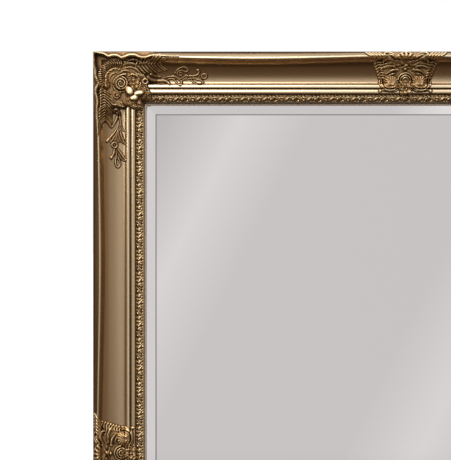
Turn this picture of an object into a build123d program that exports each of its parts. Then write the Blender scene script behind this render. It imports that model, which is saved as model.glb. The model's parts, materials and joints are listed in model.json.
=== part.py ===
from build123d import *

import os
from math import cos, radians, sin

# Free-standing cheval floor mirror: a bevelled glass in a swept gilt frame, with an easel leg behind it.
#
# Everything is drawn on the upright panel (X right, Y back, Z up, back of the frame at Y = 0, bottom edge
# at Z = 0), with the leg folded. The leg is then swung open and the whole panel leaned back on the floor.
# Millimetres. Row frame: +Z up, front towards -Y, origin on the floor under the middle of the object.

# ---- driving dimensions -------------------------------------------------------------------------------
WIDTH, HEIGHT = 700.0, 1800.0  # outside of the frame
RAIL = 57.0  # width of the moulding, outer edge to sight edge
LEAN = 9.0  # degrees that the panel leans back
OPENING = 18.0  # degrees between the panel and the leg when it stands
ORNAMENT_PITCH = HEIGHT / 4  # the long sides carry an ornament at each quarter of their height
RELIEF = 6.0  # height of the cast ornaments over the moulding

# moulding, as (distance in from the outer edge, height above the back)
LIP_FOOT, LIP_CREST, LIP_TURN = (0.0, 31.0), (6.2, 36.2), (7.6, 35.8)
SCOOP_LINE = [(8.6, 33.0), (13.5, 25.0), (22.5, 20.5), (30.0, 22.2), (35.8, 25.2)]
QUIRK_0, QUIRK_1, QUIRK_2 = (36.3, 24.5), (40.7, 25.4), (47.3, 25.0)  # grooves beside the beads
BEAD_1, BEAD_2 = (38.5, 27.6), (44.2, 28.6)  # tops of the two beads
SEAT_START, SEAT_END = (47.3, 23.2), (RAIL, 17.6)  # ledge that the carved band is glued to
BAND_CROWN, BAND_EDGE = (52.6, 24.6), (RAIL, 19.4)

# rebate, glass and backing
REBATE, LEDGE = 8.0, 15.0  # rebate width, height of its ledge above the back
GLASS_PLAY = 1.0  # gap round the glass
GLASS_BACK, GLASS_THICK = 10.0, 5.0  # the glass touches the ledge
BEVEL, BEVEL_DROP = 20.0, 3.0
FOAM_THICK, PANEL_THICK = 2.0, 3.0
CLIP_STEEL, CLIP_WIDE = 1.2, 16.0

# battens across the back, the leg, its bolts and its stays
BATTEN_THICK, BATTEN_TALL, BATTEN_LONG = 18.0, 60.0, 680.0
PIVOT_UP = 1200.0  # height of the leg's bolts
ARM = 200.0  # leg bolt to stay pivot, and stay pivot to stud
LEG_THICK, STILE_WIDE, LEG_WIDE = 18.0, 40.0, 380.0
CROSS_RAILS = {"top": 78.0, "middle": 560.0, "bottom": 1080.0}  # distance below the bolts
CROSS_TALL = 46.0
EASED = 2.0  # radius of the eased edges on battens and leg
LEG_CLEAR = 2.5  # batten to folded leg
BRACKET_PLAY = 1.0  # stile to bracket ear, each side
BOLT_R, STUD_R = 4.0, 3.0
FIT = 0.05  # radial clearance of a running fit
PLATE, BASE = 2.5, 2.0  # steel of ears, arms and tracks, and of bracket bases
GAP = 0.5  # between track, arm and ear
FLOOR_DROP = 3.0  # rubber under the frame's back edge
BOOT_TALL, BOOT_WALL, BOOT_SOLE = 26.0, 2.0, 5.0

# hangers
HANGER_X, HANGER_UP = 325.0, 1540.0
RING_WIRE, RING_HALF, RING_SIDE = 1.5, 12.0, 8.0  # wire radius, half width, straight length of a side
STRAP_STEEL, STRAP_HALF, STRAP_DROP = 1.4, 7.0, 62.0
RING_BACK = STRAP_STEEL + RING_WIRE + 0.45  # ring's axis behind the frame

# worked out from those
MIDDLE = HEIGHT / 2
GLASS_WIDE = WIDTH - 2 * (RAIL - REBATE + GLASS_PLAY)
GLASS_HIGH = HEIGHT - 2 * (RAIL - REBATE + GLASS_PLAY)
PIVOT_BACK = BATTEN_THICK + LEG_CLEAR + LEG_THICK / 2
STAY_UP = PIVOT_UP - ARM
STUD_FOLDED = PIVOT_UP - 2 * ARM
STUD_OPEN = PIVOT_UP - 2 * ARM * cos(radians(OPENING))
EAR_IN, EAR_OUT = LEG_WIDE / 2 - STILE_WIDE - BRACKET_PLAY, LEG_WIDE / 2 + BRACKET_PLAY
TRACK_X = LEG_WIDE / 2  # inner face of the track
ARM_X = TRACK_X + PLATE + GAP  # inner face of the arm
STAY_EAR_X = ARM_X + PLATE + GAP  # inner face of the stay bracket's ear
SIDES = {"left": -1, "right": 1}
LENGTHS = {"top": WIDTH, "bottom": WIDTH, "left": HEIGHT, "right": HEIGHT}
parts = {}


# ---- small helpers ------------------------------------------------------------------------------------
def block(x0, x1, y0, y1, z0, z1):
    """A box from its lowest to its highest corner."""
    return Pos((x0 + x1) / 2, (y0 + y1) / 2, (z0 + z1) / 2) * Box(x1 - x0, y1 - y0, z1 - z0)


def rod(x0, x1, radius, y, z):
    """A round bar along X."""
    return Pos((x0 + x1) / 2, y, z) * Rot(0, 90, 0) * Cylinder(radius, x1 - x0)


def hexagon(x0, x1, across, y, z):
    """A hexagonal bar along X, measured across its flats."""
    end = Plane(origin=(x0, y, z), x_dir=(0, 1, 0), z_dir=(1, 0, 0))
    return extrude(end * RegularPolygon(across / 2, 6, major_radius=False), x1 - x0)


def together(pieces):
    """Separate solids that share one node."""
    return Compound(children=[solid for piece in pieces for solid in piece.solids()])


def side_of(shape, sign):
    """A piece drawn on the right, or its mirror image on the left."""
    return shape if sign > 0 else mirror(shape, Plane.YZ)


def without(name, cutters):
    """Drills one node for the pieces that pass into it."""
    parts[name] = parts[name] - cutters


def screw(x, y, z, shank=9.0, head_r=4.0, head=1.6):
    """A cross-head screw driven forwards into the back, with the underside of its head at depth y."""
    dome = Pos(x, y + head / 2, z) * Rot(90, 0, 0) * Cylinder(head_r, head)
    dome = fillet(dome.edges().group_by(Axis.Y)[-1], head * 0.6)
    deep, long, thin = y + head * 0.45, 2.4, 0.45
    dome -= block(x - long, x + long, deep, y + head + 1, z - thin, z + thin)
    dome -= block(x - thin, x + thin, deep, y + head + 1, z - long, z + long)
    return dome + Pos(x, y - shank / 2, z) * Rot(90, 0, 0) * Cylinder(1.7, shank)


# ---- leaning the panel and swinging the leg --------------------------------------------------------------
def lean(shape):
    """Leans the upright panel back and stands it on the floor."""
    return Pos(0, 0, FLOOR_DROP) * Rot(-LEAN, 0, 0) * shape


def unlean(shape):
    """From the room, with the floor at Z = 0, to the upright panel."""
    return Rot(LEAN, 0, 0) * Pos(0, 0, -FLOOR_DROP) * shape


def swing(shape, angle, back, up):
    """Turns a piece about a line along X, away from the frame."""
    return Pos(0, back, up) * Rot(angle, 0, 0) * Pos(0, -back, -up) * shape


def over_floor(height):
    """The space more than a height over the floor, as the open leg meets it, drawn on the folded leg."""
    space = block(-600, 600, -900, 900, height, 2600)
    return swing(unlean(space), -OPENING, PIVOT_BACK, PIVOT_UP)


# ---- frame rails and carved bands ----------------------------------------------------------------------
def moulding_top(rise, band):
    """The front of the moulding, from the foot of the lip to the sight edge."""

    def up(point):
        return (point[0], point[1] + rise)

    top = [
        Line(up(LIP_FOOT), up(LIP_CREST)),
        ThreePointArc(up(LIP_CREST), up(LIP_TURN), up(SCOOP_LINE[0])),
        Spline(*[up(point) for point in SCOOP_LINE]),
        Line(up(SCOOP_LINE[-1]), up(QUIRK_0)),
        ThreePointArc(up(QUIRK_0), up(BEAD_1), up(QUIRK_1)),
        ThreePointArc(up(QUIRK_1), up(BEAD_2), up(QUIRK_2)),
    ]
    if band:
        return top + [ThreePointArc(up(QUIRK_2), up(BAND_CROWN), up(BAND_EDGE))]
    return top + [Line(up(QUIRK_2), up(SEAT_START)), Line(up(SEAT_START), up(SEAT_END))]


def rail_face():
    """Section of a rail: a flat back, a rebate for the glass and a ledge for the carved band."""
    back = Polyline(SEAT_END, (RAIL, LEDGE), (RAIL - REBATE, LEDGE), (RAIL - REBATE, 0), (0, 0), LIP_FOOT)
    return make_face(moulding_top(0.0, band=False) + [back])


def band_face():
    """Section of the carved band, which lies on the ledge beside the inner bead."""
    edge = [ThreePointArc(QUIRK_2, BAND_CROWN, BAND_EDGE), Polyline(BAND_EDGE, SEAT_END, SEAT_START, QUIRK_2)]
    return make_face(edge)


def cover_face():
    """The moulding's section raised by the relief, from just above the rebate."""
    low = LEDGE + 0.5
    foot = (LIP_FOOT[0], LIP_FOOT[1] + RELIEF)
    last = (BAND_EDGE[0], BAND_EDGE[1] + RELIEF)
    return make_face(moulding_top(RELIEF, band=True) + [Polyline(last, (RAIL, low), (0, low), foot)])


def mitred(face, length):
    """Runs a section along X with its outer edge at Z = 0, cut to 45 degrees at both ends."""
    across = Plane(origin=(length / 2, 0, 0), x_dir=(0, 0, -1), z_dir=(-1, 0, 0))
    bar = extrude(across * face, length)
    half, deep = length / 2 + 1, RAIL + 2
    corners = [(-half, 1), (half, 1), (half - deep, 1 - deep), (deep - half, 1 - deep)]
    wedge = Plane.XZ * make_face(Polyline(*corners, close=True))
    return bar & extrude(wedge, 60, both=True)


def on_side(shape, side):
    """Turns a piece drawn along X, outer edge at Z = 0, to one side of the frame."""
    turn = {"top": 0, "bottom": 180, "left": -90, "right": 90}[side]
    out = MIDDLE if side in ("top", "bottom") else WIDTH / 2
    return Pos(0, 0, MIDDLE) * Rot(0, turn, 0) * Pos(0, 0, out) * shape


def make_rails():
    for side, length in LENGTHS.items():
        parts[f"{side}_rail"] = on_side(mitred(rail_face(), length), side)
        parts[f"carved_band_{side}"] = on_side(mitred(band_face(), length), side)


# ---- cast ornaments -------------------------------------------------------------------------------------
# half outline of the corner cartouche and outline of the spray beyond it, measured in from the outer corner
CARTOUCHE = [(4, 4), (34, 4), (62, 7), (82, 9), (87, 17), (78, 27), (67, 33), (66, 46), (63, 56)]
SPRAY = [(66, 28), (92, 20), (108, 22), (119, 19), (128, 29), (121, 40), (106, 36), (95, 43), (70, 36)]
# outline of the ornaments halfway along a rail: (along, in from the outer edge)
CREST = [(-45, 1), (0, 0.5), (45, 1), (46, 10), (36, 22), (32, 34), (31, 46)]
CREST += [(0, 48), (-31, 46), (-32, 34), (-36, 22), (-46, 10)]


def prism(points):
    """A smooth outline drawn across and inwards, as a column through the whole frame."""
    outline = Spline(*[(x, -inwards) for x, inwards in points], periodic=True)
    return extrude(Plane.XZ * make_face(outline), 60, both=True)


def make_ornaments():
    under = together([parts[f"{side}_rail"] for side in ("top", "left")])
    under_bands = together([parts[f"carved_band_{side}"] for side in ("top", "left")])
    covers = {side: on_side(mitred(cover_face(), LENGTHS[side]), side) for side in ("top", "left")}

    swapped = [(b, a) for a, b in reversed(CARTOUCHE[1:])]
    outline = prism(CARTOUCHE + swapped) + prism(SPRAY) + prism([(b, a) for a, b in reversed(SPRAY)])
    outline = Pos(-WIDTH / 2, 0, HEIGHT) * outline
    corner = (covers["top"] & outline) + (covers["left"] & outline) - under - under_bands
    half_way = Plane.XY.offset(MIDDLE)
    parts["corner_ornament_top_left"] = corner
    parts["corner_ornament_top_right"] = mirror(corner, Plane.YZ)
    parts["corner_ornament_bottom_left"] = mirror(corner, half_way)
    parts["corner_ornament_bottom_right"] = mirror(mirror(corner, Plane.YZ), half_way)

    crest = (covers["top"] & on_side(prism(CREST), "top")) - under - under_bands
    parts["crest_ornament_top"] = crest
    parts["crest_ornament_bottom"] = mirror(crest, half_way)
    for level, name in ((3, "upper"), (2, "middle"), (1, "lower")):
        place = Pos(-WIDTH / 2, 0, level * ORNAMENT_PITCH) * Rot(0, -90, 0)
        left = (covers["left"] & (place * prism(CREST))) - under - under_bands
        parts[f"side_ornament_left_{name}"] = left
        parts[f"side_ornament_right_{name}"] = mirror(left, Plane.YZ)


# ---- glass and backing ----------------------------------------------------------------------------------
def slab(back, thick):
    """A sheet the size of the glass, lying in the rebate with its back so far above the frame's back."""
    return Pos(0, -back - thick / 2, MIDDLE) * Box(GLASS_WIDE, thick, GLASS_HIGH)


def make_glass():
    edge = GLASS_THICK - BEVEL_DROP
    low = Plane.XZ.offset(GLASS_BACK + edge) * Pos(0, MIDDLE) * Rectangle(GLASS_WIDE, GLASS_HIGH)
    high = Plane.XZ.offset(GLASS_BACK + GLASS_THICK) * Pos(0, MIDDLE)
    high = high * Rectangle(GLASS_WIDE - 2 * BEVEL, GLASS_HIGH - 2 * BEVEL)
    parts["mirror_glass"] = slab(GLASS_BACK, edge) + loft([low, high])
    parts["foam_sheet"] = slab(GLASS_BACK - FOAM_THICK, FOAM_THICK)
    parts["back_panel"] = slab(GLASS_BACK - FOAM_THICK - PANEL_THICK, PANEL_THICK)


def make_clips():
    """Offset clips that press the back panel against the glass, each with one screw."""
    recess = GLASS_BACK - FOAM_THICK - PANEL_THICK
    step, foot, strap = RAIL - REBATE + 2.0, 12.0, 22.0
    screw_in = step - 13.0
    points = [(step - strap, 0), (step - strap, -CLIP_STEEL), (step, -CLIP_STEEL), (step, recess - CLIP_STEEL)]
    points += [(step + foot, recess - CLIP_STEEL), (step + foot, recess), (step - CLIP_STEEL, recess)]
    points += [(step - CLIP_STEEL, 0)]
    across = Plane(origin=(CLIP_WIDE / 2, 0, 0), x_dir=(0, 0, -1), z_dir=(-1, 0, 0))
    clip = extrude(across * make_face(Polyline(*points, close=True)), CLIP_WIDE)
    fastener = screw(0, CLIP_STEEL, -screw_in)
    spots = [(side, x) for side in ("top", "bottom") for x in (-150, 150)]
    spots += [("left", z) for z in (-700, -330, 470)] + [("right", -z) for z in (-700, -330, 470)]
    parts["panel_clips"] = together([on_side(Pos(along, 0, 0) * (clip - fastener), side) for side, along in spots])
    parts["panel_clip_screws"] = together([on_side(Pos(along, 0, 0) * fastener, side) for side, along in spots])
    for side in LENGTHS:
        without(f"{side}_rail", parts["panel_clip_screws"])


def make_corner_plates():
    """Flat steel L plates across the back of each mitre, with four screws each."""
    arm, wide, thick, inset = 62.0, 15.0, 2.0, 16.0
    half, end, near = wide / 2, arm - 8, 22.0
    points = [(0, 0), (arm, 0), (arm, -wide), (wide, -wide), (wide, -arm), (0, -arm)]
    plate = extrude(Plane.XZ * make_face(Polyline(*points, close=True)), -thick)
    spots = [(near, -half), (end, -half), (half, -near), (half, -end)]
    fasteners = together([screw(x, thick, z) for x, z in spots])
    place = Pos(inset - WIDTH / 2, 0, HEIGHT - inset)
    half_way = Plane.XY.offset(MIDDLE)
    for name, piece in (("corner_plates", plate - fasteners), ("corner_plate_screws", fasteners)):
        left = place * piece
        top = [left, mirror(left, Plane.YZ)]
        parts[name] = together(top + [mirror(one, half_way) for one in top])
    for side in LENGTHS:
        without(f"{side}_rail", parts["corner_plate_screws"])


# ---- battens, brackets and bolts ---------------------------------------------------------------------------
def make_battens():
    """Cross battens screwed to the side rails: the leg hangs from the upper, the stays from the lower."""
    long, drive, head_r, head = BATTEN_LONG / 2, 28.0, 4.5, 1.8
    for name, up in (("hinge_batten", PIVOT_UP), ("stay_batten", STAY_UP)):
        batten = block(-long, long, 0, BATTEN_THICK, up - BATTEN_TALL / 2, up + BATTEN_TALL / 2)
        parts[name] = fillet(batten.edges().group_by(Axis.Y)[-1], EASED)
    spots = [(x, up + dz) for up in (PIVOT_UP, STAY_UP) for x in (-326, 326) for dz in (-14, 14)]
    parts["batten_screws"] = together([screw(x, BATTEN_THICK, z, drive, head_r, head) for x, z in spots])
    for name in ("hinge_batten", "stay_batten", "left_rail", "right_rail"):
        without(name, parts["batten_screws"])


def make_leg_brackets():
    """A U bracket round the top of each stile, with its bolt, lock nut and nylon washers."""
    ear_r, high, wing, hex_across = 11.0, 14.0, 24.0, 13.0
    nut, head, washer, washer_r, play = 7.0, 5.5, 0.8, 8.0, 0.1
    back = BATTEN_THICK
    base = block(EAR_IN - wing, EAR_OUT + wing, back, back + BASE, PIVOT_UP - high, PIVOT_UP + high)
    bracket = base
    for low in (EAR_IN - PLATE, EAR_OUT):
        bracket += block(low, low + PLATE, back, PIVOT_BACK, PIVOT_UP - ear_r, PIVOT_UP + ear_r)
        bracket += rod(low, low + PLATE, ear_r, PIVOT_BACK, PIVOT_UP)
    shank = rod(EAR_IN - PLATE - nut - 2, EAR_OUT + PLATE, BOLT_R, PIVOT_BACK, PIVOT_UP)
    bolt = shank + hexagon(EAR_OUT + PLATE, EAR_OUT + PLATE + head, hex_across, PIVOT_BACK, PIVOT_UP)
    lock_nut = hexagon(EAR_IN - PLATE - nut, EAR_IN - PLATE, hex_across, PIVOT_BACK, PIVOT_UP) - shank
    starts = (EAR_IN + play, EAR_OUT - play - washer)
    washers = [rod(low, low + washer, washer_r, PIVOT_BACK, PIVOT_UP) - shank for low in starts]
    spots = [(x, PIVOT_UP + dz) for x in (EAR_IN - 16, EAR_OUT + 16) for dz in (-8, 8)]
    fasteners = together([screw(x, back + BASE, z, 14.0) for x, z in spots])
    bracket = bracket - shank - fasteners
    for side, sign in SIDES.items():
        parts[f"{side}_leg_bracket"] = side_of(bracket, sign)
    parts["pivot_bolts"] = together([side_of(bolt, sign) for sign in SIDES.values()])
    parts["pivot_nuts"] = together([side_of(lock_nut, sign) for sign in SIDES.values()])
    parts["pivot_washers"] = together([side_of(one, sign) for one in washers for sign in SIDES.values()])
    return [side_of(fasteners, sign) for sign in SIDES.values()]


# ---- the stays ---------------------------------------------------------------------------------------------
def make_stays():
    """Bracket, rivet, arm, stud, thumb nut and slotted track of each stay.

    The arm is as long as its pivot is below the leg's bolt, so it turns exactly twice as far as the leg."""
    back, rivet_head, stud_head = BATTEN_THICK, 5.0, 5.0
    base = block(STAY_EAR_X, STAY_EAR_X + 36, back, back + BASE, STAY_UP - 14, STAY_UP + 14)
    ear = block(STAY_EAR_X, STAY_EAR_X + PLATE, back, PIVOT_BACK, STAY_UP - 10, STAY_UP + 10)
    ear += rod(STAY_EAR_X, STAY_EAR_X + PLATE, 10, PIVOT_BACK, STAY_UP)
    rivet_in, rivet_out = ARM_X - 0.3, STAY_EAR_X + PLATE
    rivet = rod(rivet_in, rivet_out, STUD_R, PIVOT_BACK, STAY_UP)
    rivet += rod(rivet_in - 1.5, rivet_in, rivet_head, PIVOT_BACK, STAY_UP)
    rivet += rod(rivet_out, rivet_out + 1.6, rivet_head, PIVOT_BACK, STAY_UP)
    spots = [(x, STAY_UP + dz) for x in (STAY_EAR_X + 12, STAY_EAR_X + 28) for dz in (-8, 8)]
    fasteners = together([screw(x, back + BASE, z, 14.0) for x, z in spots])
    bracket = base + ear - rivet - fasteners

    arm_out = ARM_X + PLATE
    arm = block(ARM_X, arm_out, PIVOT_BACK - 7, PIVOT_BACK + 7, STUD_FOLDED, STAY_UP)
    for up in (STUD_FOLDED, STAY_UP):
        arm += rod(ARM_X, arm_out, 8, PIVOT_BACK, up)
    arm -= rod(ARM_X - 1, arm_out + 1, STUD_R + FIT, PIVOT_BACK, STAY_UP)
    stud = rod(TRACK_X - 1, arm_out + 11, STUD_R, PIVOT_BACK, STUD_FOLDED)
    stud += rod(TRACK_X - 3, TRACK_X - 1, stud_head, PIVOT_BACK, STUD_FOLDED)
    arm -= stud
    knob_in, knob_r, flutes = arm_out + 0.3, 9.5, 16
    knob = rod(knob_in, knob_in + 3, 6, PIVOT_BACK, STUD_FOLDED)
    knob += rod(knob_in + 3, knob_in + 9, knob_r, PIVOT_BACK, STUD_FOLDED)
    for flute in range(flutes):
        turn = radians(360 / flutes * flute)
        back_at, up_at = PIVOT_BACK + (knob_r + 0.4) * cos(turn), STUD_FOLDED + (knob_r + 0.4) * sin(turn)
        knob -= rod(knob_in + 2, knob_in + 10, 1.2, back_at, up_at)
    knob -= rod(knob_in - 1, knob_in + 10, STUD_R + FIT, PIVOT_BACK, STUD_FOLDED)

    slot_r, half, spare = STUD_R + 0.2, 8.0, 26.0
    low, high = STUD_FOLDED - spare, STUD_OPEN + spare
    track = block(TRACK_X, TRACK_X + PLATE, PIVOT_BACK - half, PIVOT_BACK + half, low, high)
    track -= block(TRACK_X - 1, TRACK_X + 4, PIVOT_BACK - slot_r, PIVOT_BACK + slot_r, STUD_FOLDED, STUD_OPEN)
    for up in (STUD_FOLDED, STUD_OPEN):
        track -= rod(TRACK_X - 1, TRACK_X + 4, slot_r, PIVOT_BACK, up)
    flush = TRACK_X + PLATE
    track_screws = []
    for up in (low + 8, high - 8):
        sunk = rod(flush - 1, flush, 3.4, PIVOT_BACK, up) + rod(TRACK_X - 12, flush - 1, 1.6, PIVOT_BACK, up)
        track -= sunk
        slot = block(flush - 0.5, flush + 1, PIVOT_BACK - 2, PIVOT_BACK + 2, up - 0.4, up + 0.4)
        track_screws.append(sunk - slot)
    track_screws = together(track_screws)
    pieces = {
        "stay_bracket": bracket,
        "stay_arm": arm,
        "stay_stud": stud,
        "thumb_nut": knob,
        "stay_track": track,
    }
    for side, sign in SIDES.items():
        for name, piece in pieces.items():
            parts[f"{side}_{name}"] = side_of(piece, sign)
    parts["stay_rivets"] = together([side_of(rivet, sign) for sign in SIDES.values()])
    parts["track_screws"] = together([side_of(track_screws, sign) for sign in SIDES.values()])
    return [side_of(fasteners, sign) for sign in SIDES.values()]


# ---- the easel leg -------------------------------------------------------------------------------------------
def make_leg():
    """Two stiles and three cross rails, with rubber boots cut to stand flat on the floor."""
    outer, inner = LEG_WIDE / 2, LEG_WIDE / 2 - STILE_WIDE
    front, rear = PIVOT_BACK - LEG_THICK / 2, PIVOT_BACK + LEG_THICK / 2
    stile = block(inner, outer, front, rear, -40, PIVOT_UP) + rod(inner, outer, LEG_THICK / 2, PIVOT_BACK, PIVOT_UP)
    rounded = [stile.faces().sort_by(Axis.X)[end].edges() for end in (0, -1)]
    stile = fillet(rounded[0] + rounded[1], EASED) & over_floor(BOOT_SOLE)
    stile -= rod(0, 300, BOLT_R + FIT, PIVOT_BACK, PIVOT_UP)
    groove_r = 5.6
    stile -= block(outer - 4, outer + 1, PIVOT_BACK - groove_r, PIVOT_BACK + groove_r, STUD_FOLDED, STUD_OPEN)
    for up in (STUD_FOLDED, STUD_OPEN):
        stile -= rod(outer - 4, outer + 1, groove_r, PIVOT_BACK, up)
    boot = block(inner - BOOT_WALL, outer + BOOT_WALL, front - BOOT_WALL, rear + BOOT_WALL, -60, 200)
    boot = (boot & over_floor(0)) - over_floor(BOOT_TALL) - stile
    for side, sign in SIDES.items():
        parts[f"{side}_leg_stile"] = side_of(stile, sign)
        without(f"{side}_leg_stile", parts["track_screws"])
    parts["leg_boots"] = together([side_of(boot, sign) for sign in SIDES.values()])
    for name, below in CROSS_RAILS.items():
        middle = PIVOT_UP - below
        rail = block(-inner, inner, front, rear, middle - CROSS_TALL / 2, middle + CROSS_TALL / 2)
        parts[f"leg_{name}_rail"] = fillet(rail.edges().filter_by(Axis.X), EASED)


# ---- hangers and feet ------------------------------------------------------------------------------------------
def wire_ring():
    """A closed wire D: a bar, two straight sides and a half-round bow, hanging flat against the frame."""
    ring = rod(HANGER_X - RING_HALF, HANGER_X + RING_HALF, RING_WIRE, RING_BACK, HANGER_UP)
    for x in (HANGER_X - RING_HALF, HANGER_X + RING_HALF):
        ring += Pos(x, RING_BACK, HANGER_UP) * Sphere(RING_WIRE)
        ring += Pos(x, RING_BACK, HANGER_UP - RING_SIDE / 2) * Cylinder(RING_WIRE, RING_SIDE)
    bow_up = HANGER_UP - RING_SIDE
    bow = Pos(HANGER_X, RING_BACK, bow_up) * Rot(90, 0, 0) * Torus(RING_HALF, RING_WIRE)
    return ring + (bow & block(HANGER_X - 40, HANGER_X + 40, -20, 20, bow_up - 40, bow_up))


def make_hangers():
    """Strap plates, each rolled at its top into a barrel that a wire D-ring hangs from."""
    bore = RING_WIRE + FIT
    strap = block(HANGER_X - STRAP_HALF, HANGER_X + STRAP_HALF, 0, STRAP_STEEL, HANGER_UP - STRAP_DROP, HANGER_UP)
    barrel = rod(HANGER_X - STRAP_HALF, HANGER_X + STRAP_HALF, bore + STRAP_STEEL, RING_BACK, HANGER_UP)
    strap += barrel & block(0, 400, 0, 20, HANGER_UP - 20, HANGER_UP + 20)
    strap -= rod(HANGER_X - STRAP_HALF - 1, HANGER_X + STRAP_HALF + 1, bore, RING_BACK, HANGER_UP)
    fasteners = together([screw(HANGER_X, STRAP_STEEL, HANGER_UP - drop) for drop in (34, 52)])
    for side, sign in SIDES.items():
        parts[f"{side}_d_ring"] = side_of(wire_ring(), sign)
    parts["hanger_plates"] = together([side_of(strap - fasteners, sign) for sign in SIDES.values()])
    parts["hanger_screws"] = together([side_of(fasteners, sign) for sign in SIDES.values()])
    for side in SIDES:
        without(f"{side}_rail", parts["hanger_screws"])


def make_feet():
    """Rubber wedges under the bottom rail, cut level with the floor that the leaned panel stands on."""
    wedge = block(200, 262, -28, -2, -20, 0) & unlean(block(-600, 600, -900, 900, 0, 200))
    parts["frame_feet"] = together([side_of(wedge, sign) for sign in SIDES.values()])


# ---- putting it together ------------------------------------------------------------------------------------------
def leg_node(name):
    """Does this node swing with the leg?"""
    return name.startswith("leg_") or name.endswith("_leg_stile") or "track" in name


def arm_node(name):
    """Does this node swing with a stay's arm?"""
    return name.endswith(("stay_arm", "stay_stud", "thumb_nut"))


def make_all():
    make_rails()
    make_ornaments()
    make_glass()
    make_clips()
    make_corner_plates()
    make_battens()
    bracket_screws = make_leg_brackets() + make_stays()
    parts["bracket_screws"] = together(bracket_screws)
    for name in ("hinge_batten", "stay_batten"):
        without(name, parts["bracket_screws"])
    make_leg()
    make_hangers()
    make_feet()
    for name in parts:
        if leg_node(name):
            parts[name] = swing(parts[name], OPENING, PIVOT_BACK, PIVOT_UP)
        elif arm_node(name):
            parts[name] = swing(parts[name], 2 * OPENING, PIVOT_BACK, STAY_UP)
        elif name.endswith("d_ring"):
            parts[name] = swing(parts[name], LEAN, RING_BACK, HANGER_UP)
        parts[name] = lean(parts[name])


def depth_middle():
    """Y of the middle of the whole leaned object."""
    boxes = [piece.bounding_box() for piece in parts.values()]
    return (min(box.min.Y for box in boxes) + max(box.max.Y for box in boxes)) / 2


make_all()
SHIFT = -depth_middle()
os.makedirs("parts", exist_ok=True)
for name, piece in parts.items():
    parts[name] = Pos(0, SHIFT, 0) * piece
    export_step(parts[name], f"parts/{name}.step")
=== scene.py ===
import json
import math

import bmesh
import bpy
import numpy as np
from mathutils import Matrix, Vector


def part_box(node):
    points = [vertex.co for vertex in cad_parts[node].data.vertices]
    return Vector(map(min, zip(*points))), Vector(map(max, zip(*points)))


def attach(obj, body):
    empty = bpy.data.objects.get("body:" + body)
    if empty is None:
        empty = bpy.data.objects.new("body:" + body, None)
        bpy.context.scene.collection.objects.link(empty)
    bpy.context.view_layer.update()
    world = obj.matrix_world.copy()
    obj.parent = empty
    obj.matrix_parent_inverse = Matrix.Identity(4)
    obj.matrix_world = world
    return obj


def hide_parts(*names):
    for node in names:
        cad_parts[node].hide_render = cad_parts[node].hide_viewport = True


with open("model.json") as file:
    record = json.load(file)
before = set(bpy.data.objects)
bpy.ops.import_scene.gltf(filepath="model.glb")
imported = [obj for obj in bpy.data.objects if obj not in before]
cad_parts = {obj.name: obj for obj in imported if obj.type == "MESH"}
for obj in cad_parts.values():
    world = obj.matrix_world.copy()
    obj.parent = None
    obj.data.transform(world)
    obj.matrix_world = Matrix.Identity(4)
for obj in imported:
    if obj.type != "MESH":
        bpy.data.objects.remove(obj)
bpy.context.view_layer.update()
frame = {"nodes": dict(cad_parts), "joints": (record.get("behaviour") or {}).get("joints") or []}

# A free-standing cheval mirror: bevelled glass in a swept antique-gold frame, with an easel leg behind it.
# Pieces are drawn in millimetres on the upright panel (X right, back of the frame at Y = 0, front towards
# -Y, bottom edge at Z = 0) and then leaned back onto the floor as the frame stands.

# ======== where the leaned panel stands ===========================================================
# The hanging rings' swing stops flat against the back, so its lower limit is the angle that the panel leans.
# The panel's lowest line is the back edge of the bottom rail, which stands on two rubber wedges.
MM = 0.001
ring_joint = next(joint for joint in frame["joints"] if joint["name"] == "left_ring_swing")
LEAN = math.radians(-min(ring_joint["range_deg"]))
LIP_FOOT = 31.0  # height of the outer wall above the back of the frame
floor_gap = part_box("bottom_rail")[0][2]
back_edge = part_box("frame_feet")[1][1] + 2.0 * MM * math.cos(LEAN)
WIDTH = (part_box("top_rail")[1][0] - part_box("top_rail")[0][0]) / MM
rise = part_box("top_rail")[1][2] - floor_gap - LIP_FOOT * MM * math.sin(LEAN)
HEIGHT = rise / math.cos(LEAN) / MM
RAIL = (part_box("left_rail")[1][0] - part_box("left_rail")[0][0]) / MM
to_room = Matrix.Translation((0, back_edge, floor_gap)) @ Matrix.Rotation(-LEAN, 4, "X") @ Matrix.Scale(MM, 4)


def side_matrix(side):
    """From (along the rail, height above the back, inwards from the outer edge) to the upright panel."""
    turn = {"top": 0, "right": 90, "bottom": 180, "left": -90}[side]
    out = HEIGHT / 2 if side in ("top", "bottom") else WIDTH / 2
    lay = Matrix(((1, 0, 0, 0), (0, -1, 0, 0), (0, 0, -1, out), (0, 0, 0, 1)))
    return Matrix.Translation((0, 0, HEIGHT / 2)) @ Matrix.Rotation(math.radians(turn), 4, "Y") @ lay


def finished(name, mesh, place, materials, body, replaced, smooth=None):
    """Puts a finished mesh, drawn in millimetres, into the scene as one piece of the object."""
    bm = bmesh.new()
    bm.from_mesh(mesh)
    bmesh.ops.transform(bm, matrix=to_room @ place, verts=bm.verts)
    if (to_room @ place).to_3x3().determinant() < 0:
        bmesh.ops.reverse_faces(bm, faces=bm.faces)
    for face in bm.faces:
        face.smooth = smooth is not None
    made = bpy.data.meshes.new(name)
    bm.to_mesh(made)
    bm.free()
    if smooth is not None:
        made.set_sharp_from_angle(angle=math.radians(smooth))
    for material in materials:
        made.materials.append(material)
    piece = bpy.data.objects.new(name, made)
    bpy.context.scene.collection.objects.link(piece)
    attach(piece, body)
    if replaced:
        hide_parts(*replaced)
    return piece


def linear(hex_colour):
    """sRGB hex to the linear colour that shaders take."""
    parts = [int(hex_colour[i:i + 2], 16) / 255 for i in (1, 3, 5)]
    return [c / 12.92 if c <= 0.04045 else ((c + 0.055) / 1.055) ** 2.4 for c in parts] + [1.0]


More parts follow.
